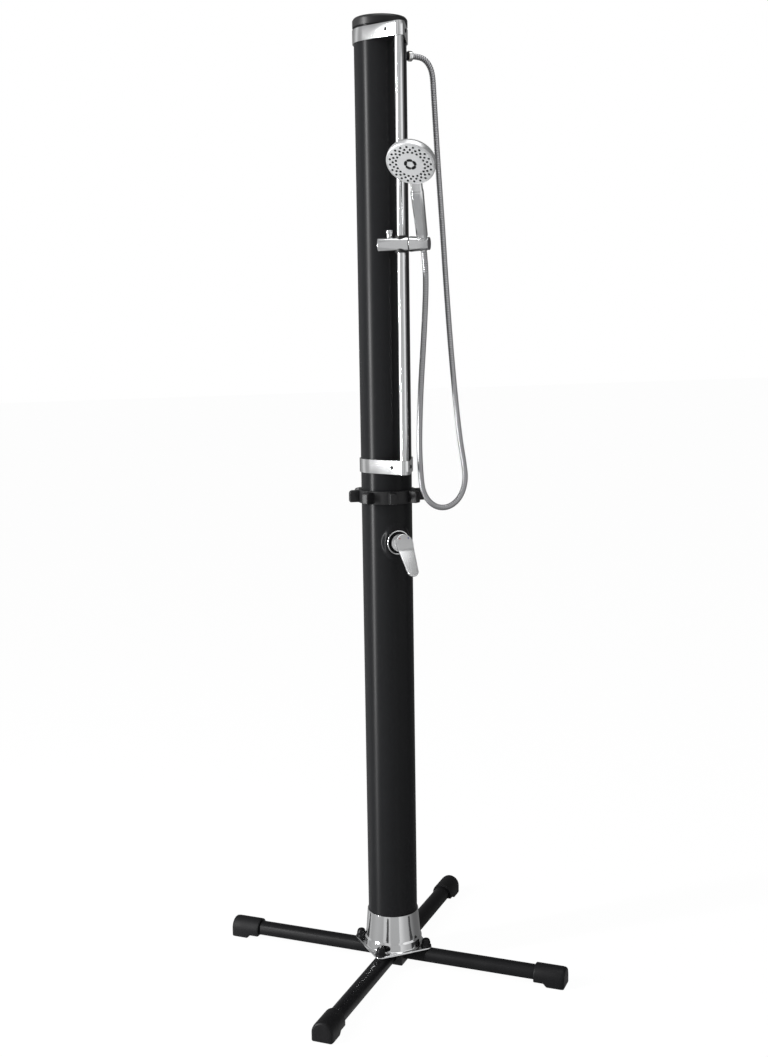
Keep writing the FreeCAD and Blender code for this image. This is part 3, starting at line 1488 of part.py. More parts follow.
def route_circle(edges, distance, radius):
    """Circle across the route at a distance along it, its seam always on the same side."""
    for edge in edges:
        if distance <= edge.Length + 1e-9:
            break
        distance -= edge.Length
    place = edge.getParameterByLength(min(distance, edge.Length))
    along = edge.tangentAt(place)
    side = V(0, 1, 0)
    side = side - along * side.dot(along)
    side.normalize()
    circle = Part.Circle(edge.valueAt(place), along, length(radius).value)
    circle.XAxis = side
    return Part.Wire([circle.toShape()])


def make_hose():
    """Metal hose: ribs wound round a plain bore, each rib a valley, a rise, a crest and a fall."""
    edges, radii = arc_route(hose_points)
    route = Part.Wire(edges)
    pitch = route.Length / int(hose_rib_count.value)
    circles = []
    for rib in range(int(hose_rib_count.value)):
        start = rib * pitch
        circles.append(route_circle(edges, start, hose_valley))
        circles.append(route_circle(edges, start + pitch * 0.2, hose_radius))
        circles.append(route_circle(edges, start + pitch * 0.65, hose_radius))
        circles.append(route_circle(edges, start + pitch * 0.85, hose_valley))
    circles.append(route_circle(edges, route.Length, hose_valley))
    outside = Part.makeLoft(circles, True, True)
    inside = route.makePipeShell([route_circle(edges, 0, hose_bore)], True, False)
    hose = doc.addObject("Part::Feature", "shower_hose")
    hose.Shape = outside.cut(inside)
    plain = math.pi * (hose_radius.value ** 2 - hose_bore.value ** 2) * route.Length
    print("hose length %.0f, least radius %.0f" % (route.Length, min(radii)))
    print("hose radii", " ".join("%.0f" % radius for radius in radii))
    print("hose volume as a share of a plain tube %.3f" % (hose.Shape.Volume / plain))
    return hose


keep(make_hose())


# ---------------------------------------------------------------- checking and writing
def write_parts():
    doc.recompute()
    for item in doc.Objects:
        states = [state for state in item.State if state in ("Invalid", "Error")]
        if states:
            raise RuntimeError("%s is %s" % (item.Label, states))
    for piece in sub_parts:
        if piece.Shape.isNull() or not piece.Shape.isValid() or not piece.Shape.Solids:
            raise RuntimeError("bad shape: " + piece.Label)
    os.makedirs("parts", exist_ok=True)
    for piece in sub_parts:
        piece.Shape.exportStep("parts/%s.step" % piece.Label)
    print("%d sub-parts written" % len(sub_parts))


write_parts()
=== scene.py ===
"""Looks of a free-standing outdoor shower post."""

import math

import bmesh
import bpy
from mathutils import Matrix, Vector


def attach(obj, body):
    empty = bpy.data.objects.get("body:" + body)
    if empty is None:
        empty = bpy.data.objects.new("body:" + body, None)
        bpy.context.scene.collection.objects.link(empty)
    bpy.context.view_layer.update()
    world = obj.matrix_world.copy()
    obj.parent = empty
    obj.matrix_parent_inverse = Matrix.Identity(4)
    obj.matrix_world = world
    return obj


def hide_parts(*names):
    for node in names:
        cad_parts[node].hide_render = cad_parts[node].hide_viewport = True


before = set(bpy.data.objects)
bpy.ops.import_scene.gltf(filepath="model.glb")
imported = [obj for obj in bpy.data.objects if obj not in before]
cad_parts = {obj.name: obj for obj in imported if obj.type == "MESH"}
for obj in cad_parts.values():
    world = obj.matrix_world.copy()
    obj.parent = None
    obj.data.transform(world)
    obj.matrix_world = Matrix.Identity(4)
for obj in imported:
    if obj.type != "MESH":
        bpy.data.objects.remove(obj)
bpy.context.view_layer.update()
scene = bpy.context.scene
scene.view_settings.view_transform = "Standard"


# ------------------------------------------------------------------ camera
# The photograph's own viewpoint: a little to the left of the front, one and a half metres up,
# three metres away and looking slightly down, with the post just off the upright.
def turned(degrees, axis):
    """Turn about one axis."""
    return Matrix.Rotation(math.radians(degrees), 4, axis)


camera_place = (-1.2517, -2.8848, 1.5104)
heading, downward, roll = -23.315, 8.197, -0.875
camera = bpy.data.objects.new("camera", bpy.data.cameras.new("camera"))
scene.collection.objects.link(camera)
camera.data.sensor_fit = "AUTO"
camera.data.sensor_width = 36
camera.data.lens = 46.478
looking = turned(heading, "Z") @ turned(90 - downward, "X") @ turned(roll, "Z")
camera.matrix_world = Matrix.Translation(camera_place) @ looking
scene.camera = camera


# ------------------------------------------------------------------ room and lights
# A pale studio: floor paper that keeps a faint shadow, a surround of soft boxes with darker
# gaps between them, a tall narrow lamp at the left, a wide one in front and one above.
def feed(made, inputs):
    """Give a node's inputs their values, or the outputs that drive them."""
    for name, value in inputs.items():
        if isinstance(value, bpy.types.NodeSocket):
            made.id_data.links.new(value, made.inputs[name])
        else:
            made.inputs[name].default_value = value


def node(tree, kind, place=(0, 0), inputs=None, **settings):
    """New node of a tree, set and fed."""
    made = tree.nodes.new(kind)
    made.location = place
    for name, value in settings.items():
        setattr(made, name, value)
    feed(made, inputs or {})
    return made


def reckoned(tree, place, operation, *inputs):
    """Output of a maths node over these inputs."""
    return node(tree, "ShaderNodeMath", place, dict(enumerate(inputs)), operation=operation).outputs[0]


def empty_tree(owner):
    """The owner's node tree, with nothing in it yet."""
    owner.use_nodes = True
    owner.node_tree.nodes.clear()
    return owner.node_tree


def surround(tree, space, seen, at):
    """Colour of the surround: plain white for the camera, and soft boxes for everything else.

    The boxes are placed by direction, in turns from -Y through -X, +Y and +X.
    """
    direction = node(tree, "ShaderNodeTexCoord", (at - 700, -200))
    split = node(tree, "ShaderNodeSeparateXYZ", (at - 550, -200), {0: direction.outputs[space]})
    angle = reckoned(tree, (at - 400, -200), "ARCTAN2", split.outputs["X"], split.outputs["Y"])
    turns = reckoned(tree, (at - 250, -200), "MULTIPLY_ADD", angle, 1 / (2 * math.pi), 0.5)
    boxes = node(tree, "ShaderNodeValToRGB", (at, -200), {0: turns})
    boxes.color_ramp.interpolation = "EASE"
    stops = boxes.color_ramp.elements
    for stop, level in [(0.0, 0.6), (0.09, 0.6), (0.105, 0.85), (0.165, 0.85), (0.18, 0.55),
                        (0.25, 0.6), (0.33, 0.5), (0.385, 0.9), (0.43, 0.5), (0.5, 0.25),
                        (0.58, 0.18), (0.8, 0.18), (0.86, 0.35), (0.92, 0.6), (1.0, 0.6)]:
        stops.new(stop).color = (level, level, level, 1)
    stops.remove(stops[0])
    stops.remove(stops[-1])
    return node(tree, "ShaderNodeMixRGB", (at + 300, -200), {
        0: seen.outputs["Is Camera Ray"], 1: boxes.outputs[0], 2: (1, 1, 1, 1)}).outputs[0]


world = bpy.data.worlds.new("studio")
scene.world = world
studio = empty_tree(world)
studio_seen = node(studio, "ShaderNodeLightPath", (-600, 300))
light = node(studio, "ShaderNodeBackground", (200, 100),
             {0: surround(studio, "Generated", studio_seen, -300)})
node(studio, "ShaderNodeOutputWorld", (400, 100), {0: light.outputs[0]})

for name, place, target, width, height, power in [
        ("key", (-3.0, 0.12, 1.45), (0, 0, 1.35), 0.22, 3.8, 290),
        ("fill", (2.4, -2.6, 1.8), (0, 0, 1.1), 3.0, 3.2, 22),
        ("top", (0.2, -0.6, 4.2), (0, 0, 1.0), 2.2, 2.2, 40)]:
    panel_light = bpy.data.lights.new(name, "AREA")
    panel_light.shape = "RECTANGLE"
    panel_light.size = width
    panel_light.size_y = height
    panel_light.energy = power
    lamp = bpy.data.objects.new(name, panel_light)
    lamp.location = place
    lamp.rotation_euler = (Vector(target) - Vector(place)).to_track_quat("-Z", "Y").to_euler()
    scene.collection.objects.link(lamp)

floor_mesh = bpy.data.meshes.new("floor")
floor_mesh.from_pydata([(-30, -30, 0), (30, -30, 0), (30, 30, 0), (-30, 30, 0)], [], [(0, 1, 2, 3)])
floor = bpy.data.objects.new("floor", floor_mesh)
floor.location.z = -0.0005
scene.collection.objects.link(floor)
paper = bpy.data.materials.new("floor_paper")
paper_glow = 0.97
sheet = empty_tree(paper)
paper_seen = node(sheet, "ShaderNodeLightPath", (-600, 200))
seen_or_mirrored = reckoned(sheet, (-400, 200), "MAXIMUM", paper_seen.outputs["Is Camera Ray"],
                            paper_seen.outputs["Is Glossy Ray"])
share = reckoned(sheet, (-250, 200), "MULTIPLY", seen_or_mirrored, paper_glow)
matt = node(sheet, "ShaderNodeBsdfDiffuse", (-400, -50), {0: (0.9, 0.9, 0.9, 1)})
glow = node(sheet, "ShaderNodeEmission", (-200, -200), {0: surround(sheet, "Object", paper_seen, -600)})
both = node(sheet, "ShaderNodeMixShader", (0, 0), {0: share, 1: matt.outputs[0], 2: glow.outputs[0]})
node(sheet, "ShaderNodeOutputMaterial", (200, 0), {0: both.outputs[0]})
floor_mesh.materials.append(paper)


# ------------------------------------------------------------------ shower hose
# Flexible metal hose of wound steel strip, 13 mm across, with a rib every 5.3 mm. It leaves
# the nut at the side of the post, hangs in one long loop and ends in the hand shower's nut.
def surface(name, colour, metallic, roughness, grain, depth, unevenness, streak=1.0, mirror=0.5):
    """Finish with its own fine relief, patches of gloss and slight change of colour."""
    made = bpy.data.materials.new(name)
    made.use_nodes = True
    tree = made.node_tree
    where = node(tree, "ShaderNodeTexCoord", (-1100, 0))
    stretch = node(tree, "ShaderNodeMapping", (-900, 0),
                   {"Vector": where.outputs["Object"], "Scale": (1, 1, streak)}).outputs[0]
    fine = node(tree, "ShaderNodeTexNoise", (-650, -300),
                {"Vector": stretch, "Scale": grain, "Detail": 3}).outputs["Fac"]
    broad = node(tree, "ShaderNodeTexNoise", (-650, 100),
                 {"Vector": stretch, "Scale": 14, "Detail": 4}).outputs["Fac"]
    gloss = node(tree, "ShaderNodeMapRange", (-350, 0), {
        "Value": broad, "From Min": 0.3, "From Max": 0.7,
        "To Min": roughness * (1 - unevenness), "To Max": roughness * (1 + unevenness)})
    darker, lighter = [tuple(min(1, part * (1 + unevenness * change)) for part in colour) + (1,)
                       for change in (-0.25, 0.25)]
    tint = node(tree, "ShaderNodeMixRGB", (-350, 300), {0: broad, 1: darker, 2: lighter})
    relief = node(tree, "ShaderNodeBump", (-300, -300),
                  {"Strength": 1, "Distance": depth, "Height": fine})
    feed(tree.nodes["Principled BSDF"], {
        "Metallic": metallic, "Specular IOR Level": mirror, "Roughness": gloss.outputs[0],
        "Base Color": tint.outputs[0], "Normal": relief.outputs[0]})
    return made


def sized_tree(name, sizes):
    """Geometry node tree that takes geometry and named sizes: the tree, its input and its output."""
    tree = bpy.data.node_groups.new(name, "GeometryNodeTree")
    tree.interface.new_socket("Geometry", in_out="INPUT", socket_type="NodeSocketGeometry")
    for label, kind in sizes.items():
        tree.interface.new_socket(label, in_out="INPUT", socket_type="NodeSocket" + kind)
    tree.interface.new_socket("Geometry", in_out="OUTPUT", socket_type="NodeSocketGeometry")
    return tree, node(tree, "NodeGroupInput", (-900, 0)).outputs, node(tree, "NodeGroupOutput", (900, 0))


def plain_mesh(piece):
    """Mesh of a piece as its modifiers leave it."""
    return bpy.data.meshes.new_from_object(piece.evaluated_get(bpy.context.evaluated_depsgraph_get()))


def grown(piece, tree, **values):
    """Run a tree on a piece and keep the result as its plain mesh."""
    modifier = piece.modifiers.new("grow", "NODES")
    modifier.node_group = tree
    for socket in tree.interface.items_tree:
        if socket.in_out == "INPUT" and socket.name in values:
            modifier[socket.identifier] = values[socket.name]
    made = bpy.data.objects.new(piece.name + "_made", plain_mesh(piece))
    scene.collection.objects.link(made)
    name = piece.name
    bpy.data.objects.remove(piece)
    made.name = name
    return made


def smooth(piece, angle=40):
    """Smooth shading, with an edge kept sharp where it turns more than the angle."""
    piece.data.shade_smooth()
    piece.data.set_sharp_from_angle(angle=math.radians(angle))
    return piece


hose_rib = 0.00529
hose_route = [
    (0.078, 0, 2.12),
    (0.097, 0, 2.12),
    (0.1125, 0.001, 2.113),
    (0.1235, 0.002, 2.0995),
    (0.1295, 0.003, 2.081),
    (0.132, 0.004, 2.046),
    (0.134, 0.001, 1.985),
    (0.137, -0.006, 1.875),
    (0.14, -0.019, 1.745),
    (0.1415, -0.033, 1.61),
    (0.1435, -0.05, 1.47),
    (0.148, -0.065, 1.345),
    (0.154, -0.073, 1.262),
    (0.161, -0.077, 1.212),
    (0.165, -0.08, 1.168),
    (0.15, -0.082, 1.129),
    (0.119, -0.082, 1.107),
    (0.081, -0.084, 1.112),
    (0.053, -0.084, 1.144),
    (0.047, -0.085, 1.197),
    (0.044, -0.087, 1.267),
    (0.047, -0.092, 1.385),
    (0.054, -0.0985, 1.51),
    (0.0565, -0.105, 1.605),
    (0.0524, -0.1119, 1.6585),
    (0.04337, -0.12386, 1.68676),
]
hose_curve = bpy.data.curves.new("hose_line", "CURVE")
hose_curve.dimensions = "3D"
hose_spline = hose_curve.splines.new("NURBS")
hose_spline.points.add(len(hose_route) - 1)
for point, place in zip(hose_spline.points, hose_route):
    point.co = (*place, 1)
hose_spline.order_u = 3
hose_spline.use_endpoint_u = True
hose_spline.resolution_u = 24
hose_line = bpy.data.objects.new("hose_line", hose_curve)
scene.collection.objects.link(hose_line)
hose_path = [tuple(vertex.co) for vertex in plain_mesh(hose_line).vertices]

hose_steel = surface("hose_steel", (0.33, 0.33, 0.34), 1.0, 0.38, 900, 0.00001, 0.3)
crest_flatness = 0.35
# Tree that winds the hose along its line: its radius rises and falls once in each rib.
ribs, size, rib_out = sized_tree("wound_ribs", {
    "Rib pitch": "Float", "Valley radius": "Float", "Crest height": "Float", "Steps": "Float",
    "Finish": "Material"})
step = reckoned(ribs, (-700, 200), "DIVIDE", size["Rib pitch"], size["Steps"])
even = node(ribs, "GeometryNodeResampleCurve", (-500, 0), {"Curve": size["Geometry"], "Length": step},
            mode="LENGTH")
along = node(ribs, "GeometryNodeSplineParameter", (-700, -200)).outputs["Length"]
count = reckoned(ribs, (-500, -200), "DIVIDE", along, size["Rib pitch"])
place_in_rib = reckoned(ribs, (-350, -200), "FRACT", count)
half_turn = reckoned(ribs, (-200, -200), "MULTIPLY", place_in_rib, math.pi)
arch = reckoned(ribs, (-50, -200), "SINE", half_turn)
flatter = reckoned(ribs, (100, -200), "POWER", arch, crest_flatness)
rise = reckoned(ribs, (250, -200), "MULTIPLY_ADD", flatter, size["Crest height"], size["Valley radius"])
ring = node(ribs, "GeometryNodeCurvePrimitiveCircle", (350, 200), {"Resolution": 22, "Radius": 1})
tube = node(ribs, "GeometryNodeCurveToMesh", (550, 0), {
    "Curve": even.outputs["Curve"], "Profile Curve": ring.outputs["Curve"], "Scale": rise,
    "Fill Caps": True})
whole = node(ribs, "GeometryNodeRealizeInstances", (650, 0), {0: tube.outputs["Mesh"]})
coat = node(ribs, "GeometryNodeSetMaterial", (750, 0),
            {"Geometry": whole.outputs[0], "Material": size["Finish"]})
feed(rib_out, {0: coat.outputs["Geometry"]})
hose = grown(hose_line, ribs, **{"Rib pitch": hose_rib, "Valley radius": 0.0051,
                                 "Crest height": 0.0015, "Steps": 8.0, "Finish": hose_steel})
hose.name = "ribbed_hose"
smooth(hose, 60)
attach(hose, "post")
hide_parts("shower_hose")


# ------------------------------------------------------------------ foot hub
# Moulded black plastic block that stands on the floor in the middle, its corners pointing
# forward, back and sideways between the legs; the flange bolts pull the legs onto its spigots.
def loose(name, build, place=None):
    """Object from a bmesh in millimetres in its own frame; it rides on nothing yet."""
    bmesh.ops.recalc_face_normals(build, faces=build.faces)
    mesh = bpy.data.meshes.new(name)
    build.to_mesh(mesh)
    build.free()
    mesh.transform(Matrix.Diagonal((0.001, 0.001, 0.001, 1)))
    if place is not None:
        mesh.transform(place)
    made = bpy.data.objects.new(name, mesh)
    scene.collection.objects.link(made)
    return made


def fitted(made, body, nodes=()):
    """Let a piece ride on a body and stand for CAD nodes."""
    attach(made, body)
    if nodes:
        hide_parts(*nodes)
    return made


def rounded(corners, steps=5):
    """Closed outline in which a corner (x, y, r) becomes an arc of radius r."""
    points = []
    total = len(corners)
    for index, corner in enumerate(corners):
        radius = corner[2] if len(corner) > 2 else 0
        here = Vector(corner[:2])
        if radius <= 0:
            points.append(here)
            continue
        back = (Vector(corners[index - 1][:2]) - here).normalized()
        ahead = (Vector(corners[(index + 1) % total][:2]) - here).normalized()
        half = back.angle(ahead) / 2
        reach = radius / math.tan(half)
        middle = here + (back + ahead).normalized() * (radius / math.sin(half))
        start = here + back * reach - middle
        end = here + ahead * reach - middle
        turn = start.angle_signed(end)
        for index_step in range(steps + 1):
            share = index_step / steps * turn
            points.append(middle + Matrix.Rotation(-share, 2) @ start)
    return points


def square(half, radius, steps=5):
    """Outline of a square with rounded corners."""
    return rounded([(-half, -half, radius), (half, -half, radius), (half, half, radius),
                    (-half, half, radius)], steps)


def wall(build, low, high):
    """Faces between two rings of equally many points."""
    for index in range(len(low)):
        after = (index + 1) % len(low)
        build.faces.new((low[index], low[after], high[after], high[index]))


def loft(rings, ends=True):
    """Skin through rings of points, closed at both ends or else run round to the first ring."""
    build = bmesh.new()
    rings = [[build.verts.new(point) for point in ring] for ring in rings]
    if ends:
        build.faces.new(rings[0][::-1])
        build.faces.new(rings[-1])
    else:
        rings.append(rings[0])
    for low, high in zip(rings, rings[1:]):
        wall(build, low, high)
    return build


def prism(outline, low, high):
    """Solid with this outline from height low to high."""
    return loft([[(p[0], p[1], height) for p in outline] for height in (low, high)])


def soften(piece, width, segments=3, angle=30):
    """Round a piece's edges, in metres, and shade it smooth."""
    bevel = piece.modifiers.new("edges", "BEVEL")
    bevel.width = width
    bevel.segments = segments
    bevel.limit_method = "ANGLE"
    bevel.angle_limit = math.radians(angle)
    bevel.harden_normals = False
    mesh = plain_mesh(piece)
    piece.modifiers.clear()
    old = piece.data
    piece.data = mesh
    bpy.data.meshes.remove(old)
    return smooth(piece)


black_plastic = surface("black_plastic", (0.008, 0.008, 0.0085), 0.0, 0.42, 1600, 0.00003, 0.2,
                        mirror=0.22)
hub_half, hub_top = 35, 40
hub = loose("hub", prism(square(hub_half, 3), 0, hub_top), turned(45, "Z"))
hub.data.materials.append(black_plastic)
soften(hub, 0.0012)
fitted(hub, "post", ["leg_hub"])


# ------------------------------------------------------------------ legs
# Four metal tubes with a flat underside and a round back, coated satin black. Each slides over
# a spigot of the hub and is held by one flange bolt.
# Tree that repeats a piece evenly round the upright axis.
round_axis, given, ring_out = sized_tree("round_the_post", {
    "Count": "Int", "First": "Float", "Step": "Float", "Finish": "Material"})
places = node(round_axis, "GeometryNodeMeshLine", (-600, 100),
              {"Offset": (0, 0, 0), "Count": given["Count"]})
index = node(round_axis, "GeometryNodeInputIndex", (-800, -200)).outputs[0]
angle = reckoned(round_axis, (-600, -200), "MULTIPLY_ADD", index, given["Step"], given["First"])
turn = node(round_axis, "ShaderNodeCombineXYZ", (-400, -200), {"Z": angle})
copies = node(round_axis, "GeometryNodeInstanceOnPoints", (-100, 0), {
    "Points": places.outputs["Mesh"], "Instance": given["Geometry"], "Rotation": turn.outputs[0]})
real = node(round_axis, "GeometryNodeRealizeInstances", (200, 0), {0: copies.outputs[0]})
dressed = node(round_axis, "GeometryNodeSetMaterial", (450, 0),
               {"Geometry": real.outputs[0], "Material": given["Finish"]})
feed(ring_out, {0: dressed.outputs["Geometry"]})


def ring_of(piece, count, first, finish, body, nodes, angle=40, place=None):
    """Copies of a piece evenly round the upright axis, from this angle on, as one piece."""
    made = grown(piece, round_axis, Count=count, First=math.radians(first),
                 Step=math.radians(360 / count), Finish=finish)
    if place is not None:
        made.data.transform(place)
    smooth(made, angle)
    return fitted(made, body, nodes)


def arch_outline(half, low, spring, corner):
    """Section with a flat underside, upright sides and a half-round back."""
    steps = 16
    points = rounded([(-half, spring), (-half, low, corner), (half, low, corner), (half, spring)])
    round_back = [Vector((half * math.cos(turn), spring + half * math.sin(turn)))
                  for turn in [math.pi * index / steps for index in range(1, steps)]]
    return points + round_back


leg_coat = surface("leg_coating", (0.0045, 0.0045, 0.005), 0.0, 0.36, 1100, 0.00004, 0.2, mirror=0.1)
leg_half, leg_low, leg_spring = 20, 12, 20
leg_start, leg_end = hub_half - 0.5, 423
leg_section = arch_outline(leg_half, leg_low, leg_spring, 3)
leg = loose("leg_tubes", loft([[(along, p[0], p[1]) for p in leg_section] for along in (leg_start, leg_end)]))
ring_of(leg, 4, 45, leg_coat, "post",
        ["leg_front_left", "leg_front_right", "leg_rear_left", "leg_rear_right"], angle=50)


# ------------------------------------------------------------------ foot caps
# Moulded black rubber shoes pushed over the leg ends, each with a pad under its outer part
# that stands on the floor. Their mouths and ends are rounded off.
rubber = surface("foot_rubber", (0.0045, 0.0045, 0.005), 0.0, 0.5, 900, 0.00006, 0.2, mirror=0.12)
cap_half = 25.5
cap_start, cap_end = 357, 430
pad_start = 387


def cap_shape():
    """Rings of the shoe from its mouth to its end, each an arch section."""
    rings = []
    for along, inset, low in ((cap_start, 4.2, 12), (cap_start, 1.2, 9), (cap_start + 1.2, 0.2, 8.2),
                              (cap_start + 3, 0, 8), (pad_start - 6, 0, 8), (pad_start, 0, 1.2),
                              (pad_start + 2.5, 0, 0.0), (cap_end - 9, 0, 0), (cap_end - 3, 0.9, 0),
                              (cap_end - 0.9, 2.6, 0.4), (cap_end, 5.5, 2.4), (cap_end, 12, 9)):
        half = cap_half - inset
        outline = arch_outline(half, low, leg_spring, 2.5 if half > 15 else 1.5)
        rings.append([(along, p[0], p[1]) for p in outline])
    return loft(rings)


ring_of(loose("foot_caps", cap_shape()), 4, 45, rubber, "post",
        ["foot_cap_front_left", "foot_cap_front_right", "foot_cap_rear_left", "foot_cap_rear_right"],
        angle=42)


# ------------------------------------------------------------------ base flange
# Cast and chromed: a square plate with rounded corners that lies on the legs, and a collar
# that rises from a thicker ring, flares in and grips the foot of the post.
def circle(radius, height, points):
    """Points evenly round the upright axis."""
    return [(radius * math.cos(turn), radius * math.sin(turn), height)
            for turn in [2 * math.pi * index / points for index in range(points)]]


def lathe(profile, segments=96):
    """Solid of revolution about Z of an outline of (radius, height)."""
    build = bmesh.new()
    rings = []
    for radius, height in profile:
        points = [(0, 0, height)] if abs(radius) < 1e-6 else circle(radius, height, segments)
        rings.append([build.verts.new(point) for point in points])
    for low, high in zip(rings, rings[1:] + rings[:1]):
        if len(low) == len(high) > 1:
            wall(build, low, high)
        elif len(low) != len(high):
            for index in range(segments):
                after = (index + 1) % segments
                if len(low) == 1:
                    build.faces.new((low[0], high[after], high[index]))
                else:
                    build.faces.new((low[index], low[after], high[0]))
    return build


def merged(builds):
    """Several solids as one mesh."""
    whole = bmesh.new()
    for build in builds:
        part = bpy.data.meshes.new("part")
        build.to_mesh(part)
        build.free()
        whole.from_mesh(part)
        bpy.data.meshes.remove(part)
    return whole


def new_piece(name, build, finish, body, nodes=(), place=None, angle=40):
    """Piece of one finish that rides on a body and stands for CAD nodes; flat shaded at angle 0."""
    made = loose(name, build, place)
    made.data.materials.append(finish)
    if angle:
        smooth(made, angle)
    return fitted(made, body, nodes)


chrome = surface("chrome_plate", (0.60, 0.605, 0.61), 1.0, 0.1, 500, 0.000003, 0.3)
plate_half, plate_low, plate_top = 73, 40, 44
plate_outline = square(plate_half, 13.5, 10)


def plate_shape():
    """Square plate whose top edge is rounded down to a thin lip."""
    rings = []
    for inset, height in [(0.6, plate_low), (0, plate_low + 0.6), (0, plate_top - 2.2),
                          (0.5, plate_top - 1.0), (1.6, plate_top - 0.25), (3.2, plate_top)]:
        scale = 1 - inset / plate_half
        rings.append([(p[0] * scale, p[1] * scale, height) for p in plate_outline])
    return loft(rings)


collar_profile = rounded([
    (58.6, 43), (74, 43), (73.2, 44.1, 2), (69.2, 46.2, 3), (68.8, 62.5, 3.5), (66.0, 66.5, 4),
    (65.4, 72, 12), (61.2, 128.6, 30), (60.9, 130, 0.5), (58.6, 130)], 6)
new_piece("base_flange_chromed", merged([plate_shape(), lathe(collar_profile, 128)]), chrome, "post",
          ["base_flange"], angle=32)


# ------------------------------------------------------------------ flange nuts and screws
# Black steel: a domed nut on a wide foot at each corner of the plate, the round bolt heads
# under it, and four socket screws that clamp the collar.
def moved(x, y, z):
    """Shift in millimetres."""
    return Matrix.Translation((x / 1000, y / 1000, z / 1000))


black_steel = surface("black_steel", (0.0045, 0.0045, 0.005), 0.0, 0.38, 700, 0.00005, 0.25, mirror=0.12)
bolt_place = moved(59.5 * math.sqrt(2), 0, 0)
nut_profile = rounded([
    (0, 43.9), (13, 43.9), (13, 46.2, 0.8), (11, 48.2, 0.8), (10.6, 54.6, 3), (8.4, 61.2, 4),
    (3.4, 63.4, 3), (0, 63.5)], 4)
ring_of(loose("flange_nuts", lathe(nut_profile, 32), bolt_place), 4, 45, black_steel, "post",
        ["flange_cap_nuts"])
head_profile = rounded([(0, 7.5), (5.5, 7.5, 1), (8, 10.6, 1.5), (8, 12), (0, 12)], 4)
ring_of(loose("bolt_heads", lathe(head_profile, 32), bolt_place), 4, 45, black_steel, "post",
        ["flange_bolts"])
clamp_height, clamp_turns = 54.5, (56, 124)
clamp_profile = rounded([(0, 66), (4, 66), (4, 68.9), (5.4, 68.9), (5.4, 71.6, 0.9), (2.9, 71.6, 0.2),
                         (2.9, 69.6), (0, 69.6)], 3)


def screws_at(profile, segments, places):
    """Screws turned from one profile, each laid along X in its place, which is in millimetres."""
    screws = []
    for place in places:
        screw = lathe(profile, segments)
        screw.transform(place @ turned(90, "Y"))
        screws.append(screw)
    return merged(screws)


clamp_places = [turned(turn, "Z") @ Matrix.Translation((0, 0, clamp_height)) for turn in clamp_turns]
ring_of(loose("clamp_screws", screws_at(clamp_profile, 32, clamp_places)), 2, 0, black_steel, "post",
        ["collar_clamp_screws"])


# ------------------------------------------------------------------ lower tank
# Round tube, coated satin black, clamped in the base collar. Its wall swells gently into a
# flat round boss for the tap, and its coat draws highlights out up the tube.
post_coat = surface("post_coating", (0.0070, 0.0072, 0.0078), 0.0, 0.36, 260, 0.00001, 0.12, 0.25,
                    mirror=0.08)
feed(post_coat.node_tree.nodes["Principled BSDF"], {"Anisotropic": 0.8, "Anisotropic Rotation": 0.25})
post_radius = 58.5
shoulder_radius = 61.5
tap_height = 1033
boss_radius, boss_face = 30, 61
swell_side, swell_tall = 36, 46


def swollen(x, y, height):
    """Point of the tube's wall, drawn forward where it swells to the boss."""
    if y >= 0:
        return x, y, height
    away = max(0.1, math.hypot(x, height - tap_height))
    reach = away / math.hypot(x / swell_side, (height - tap_height) / swell_tall)
    share = max(0, min(1, (reach - away) / (reach - boss_radius)))
    share = share * share * (3 - 2 * share)
    return x, -max(-y, -y + (boss_face + y) * share), height


boss_heights = [tap_height + step * 1.5 for step in range(-44, 45)]
below_boss = [circle(post_radius, height, 192) for height in (46, *range(130, 931, 100))]
at_boss = [[swollen(*point) for point in circle(post_radius, height, 192)] for height in boss_heights]
above_boss = [circle(radius, height, 192) for radius, height in (
    (post_radius, 1110), (post_radius, 1123), (shoulder_radius, 1125), (shoulder_radius, 1137))]
new_piece("lower_tank_shell", loft(below_boss + at_boss + above_boss), post_coat, "post",
          ["lower_tank"], angle=50)


# ------------------------------------------------------------------ union nut
# Moulded black plastic ring that screws the two tanks together, with eight rounded grip
# lugs round it.
nut_low, nut_high = 1121, 1151
lug_root, lug_tip, lug_half = 64, 88, 8
union_profile = rounded([(61.6, nut_low), (65.9, nut_low, 1.2), (65.9, nut_high, 2.2),
                         (58.7, nut_high, 0.6), (58.7, 1144.3), (61.6, 1144.3)], 4)
new_piece("union_nut_ring", lathe(union_profile, 128), black_plastic, "union_nut_body",
          ["union_nut"])
lug_outline = rounded([(lug_root, nut_low + 1.5, 0), (lug_tip - 1.5, nut_low + 1.5, 0),
                       (lug_tip, nut_low + 4, 2), (lug_tip, nut_high - 1.5, 7.5),
                       (lug_root, nut_high - 1.5, 0)], 6)
lug = loose("union_lugs", prism(lug_outline, -lug_half, lug_half), turned(90, "X"))
soften(lug, 0.0018, 3, 40)
ring_of(lug, 8, -13.5, black_plastic, "union_nut_body", ["union_nut"], angle=45)


# ------------------------------------------------------------------ upper tank and lid
# The same tube again, seated on a seal in the union nut, with a domed black plastic lid
# pressed over its top end.
post_bore = 55.6
upper_profile = ([(post_bore, 1141), (shoulder_radius, 1141), (shoulder_radius, 1143), (post_radius, 1144)]
                 + [(post_radius, 1160 + step * 100) for step in range(11)]
                 + [(post_radius, 2189), (post_bore, 2189)])
new_piece("upper_tank_shell", lathe(upper_profile, 192), post_coat, "post",
          ["upper_tank"])
lid_profile = rounded([(0, 2190), (58.8, 2190), (58.8, 2174.5), (61.3, 2174.5, 0.6),
                       (61.3, 2189.5, 3.5), (57.5, 2194.8, 4), (0, 2196)], 6)
new_piece("post_lid", lathe(lid_profile, 128), black_plastic, "post", ["top_cap"])


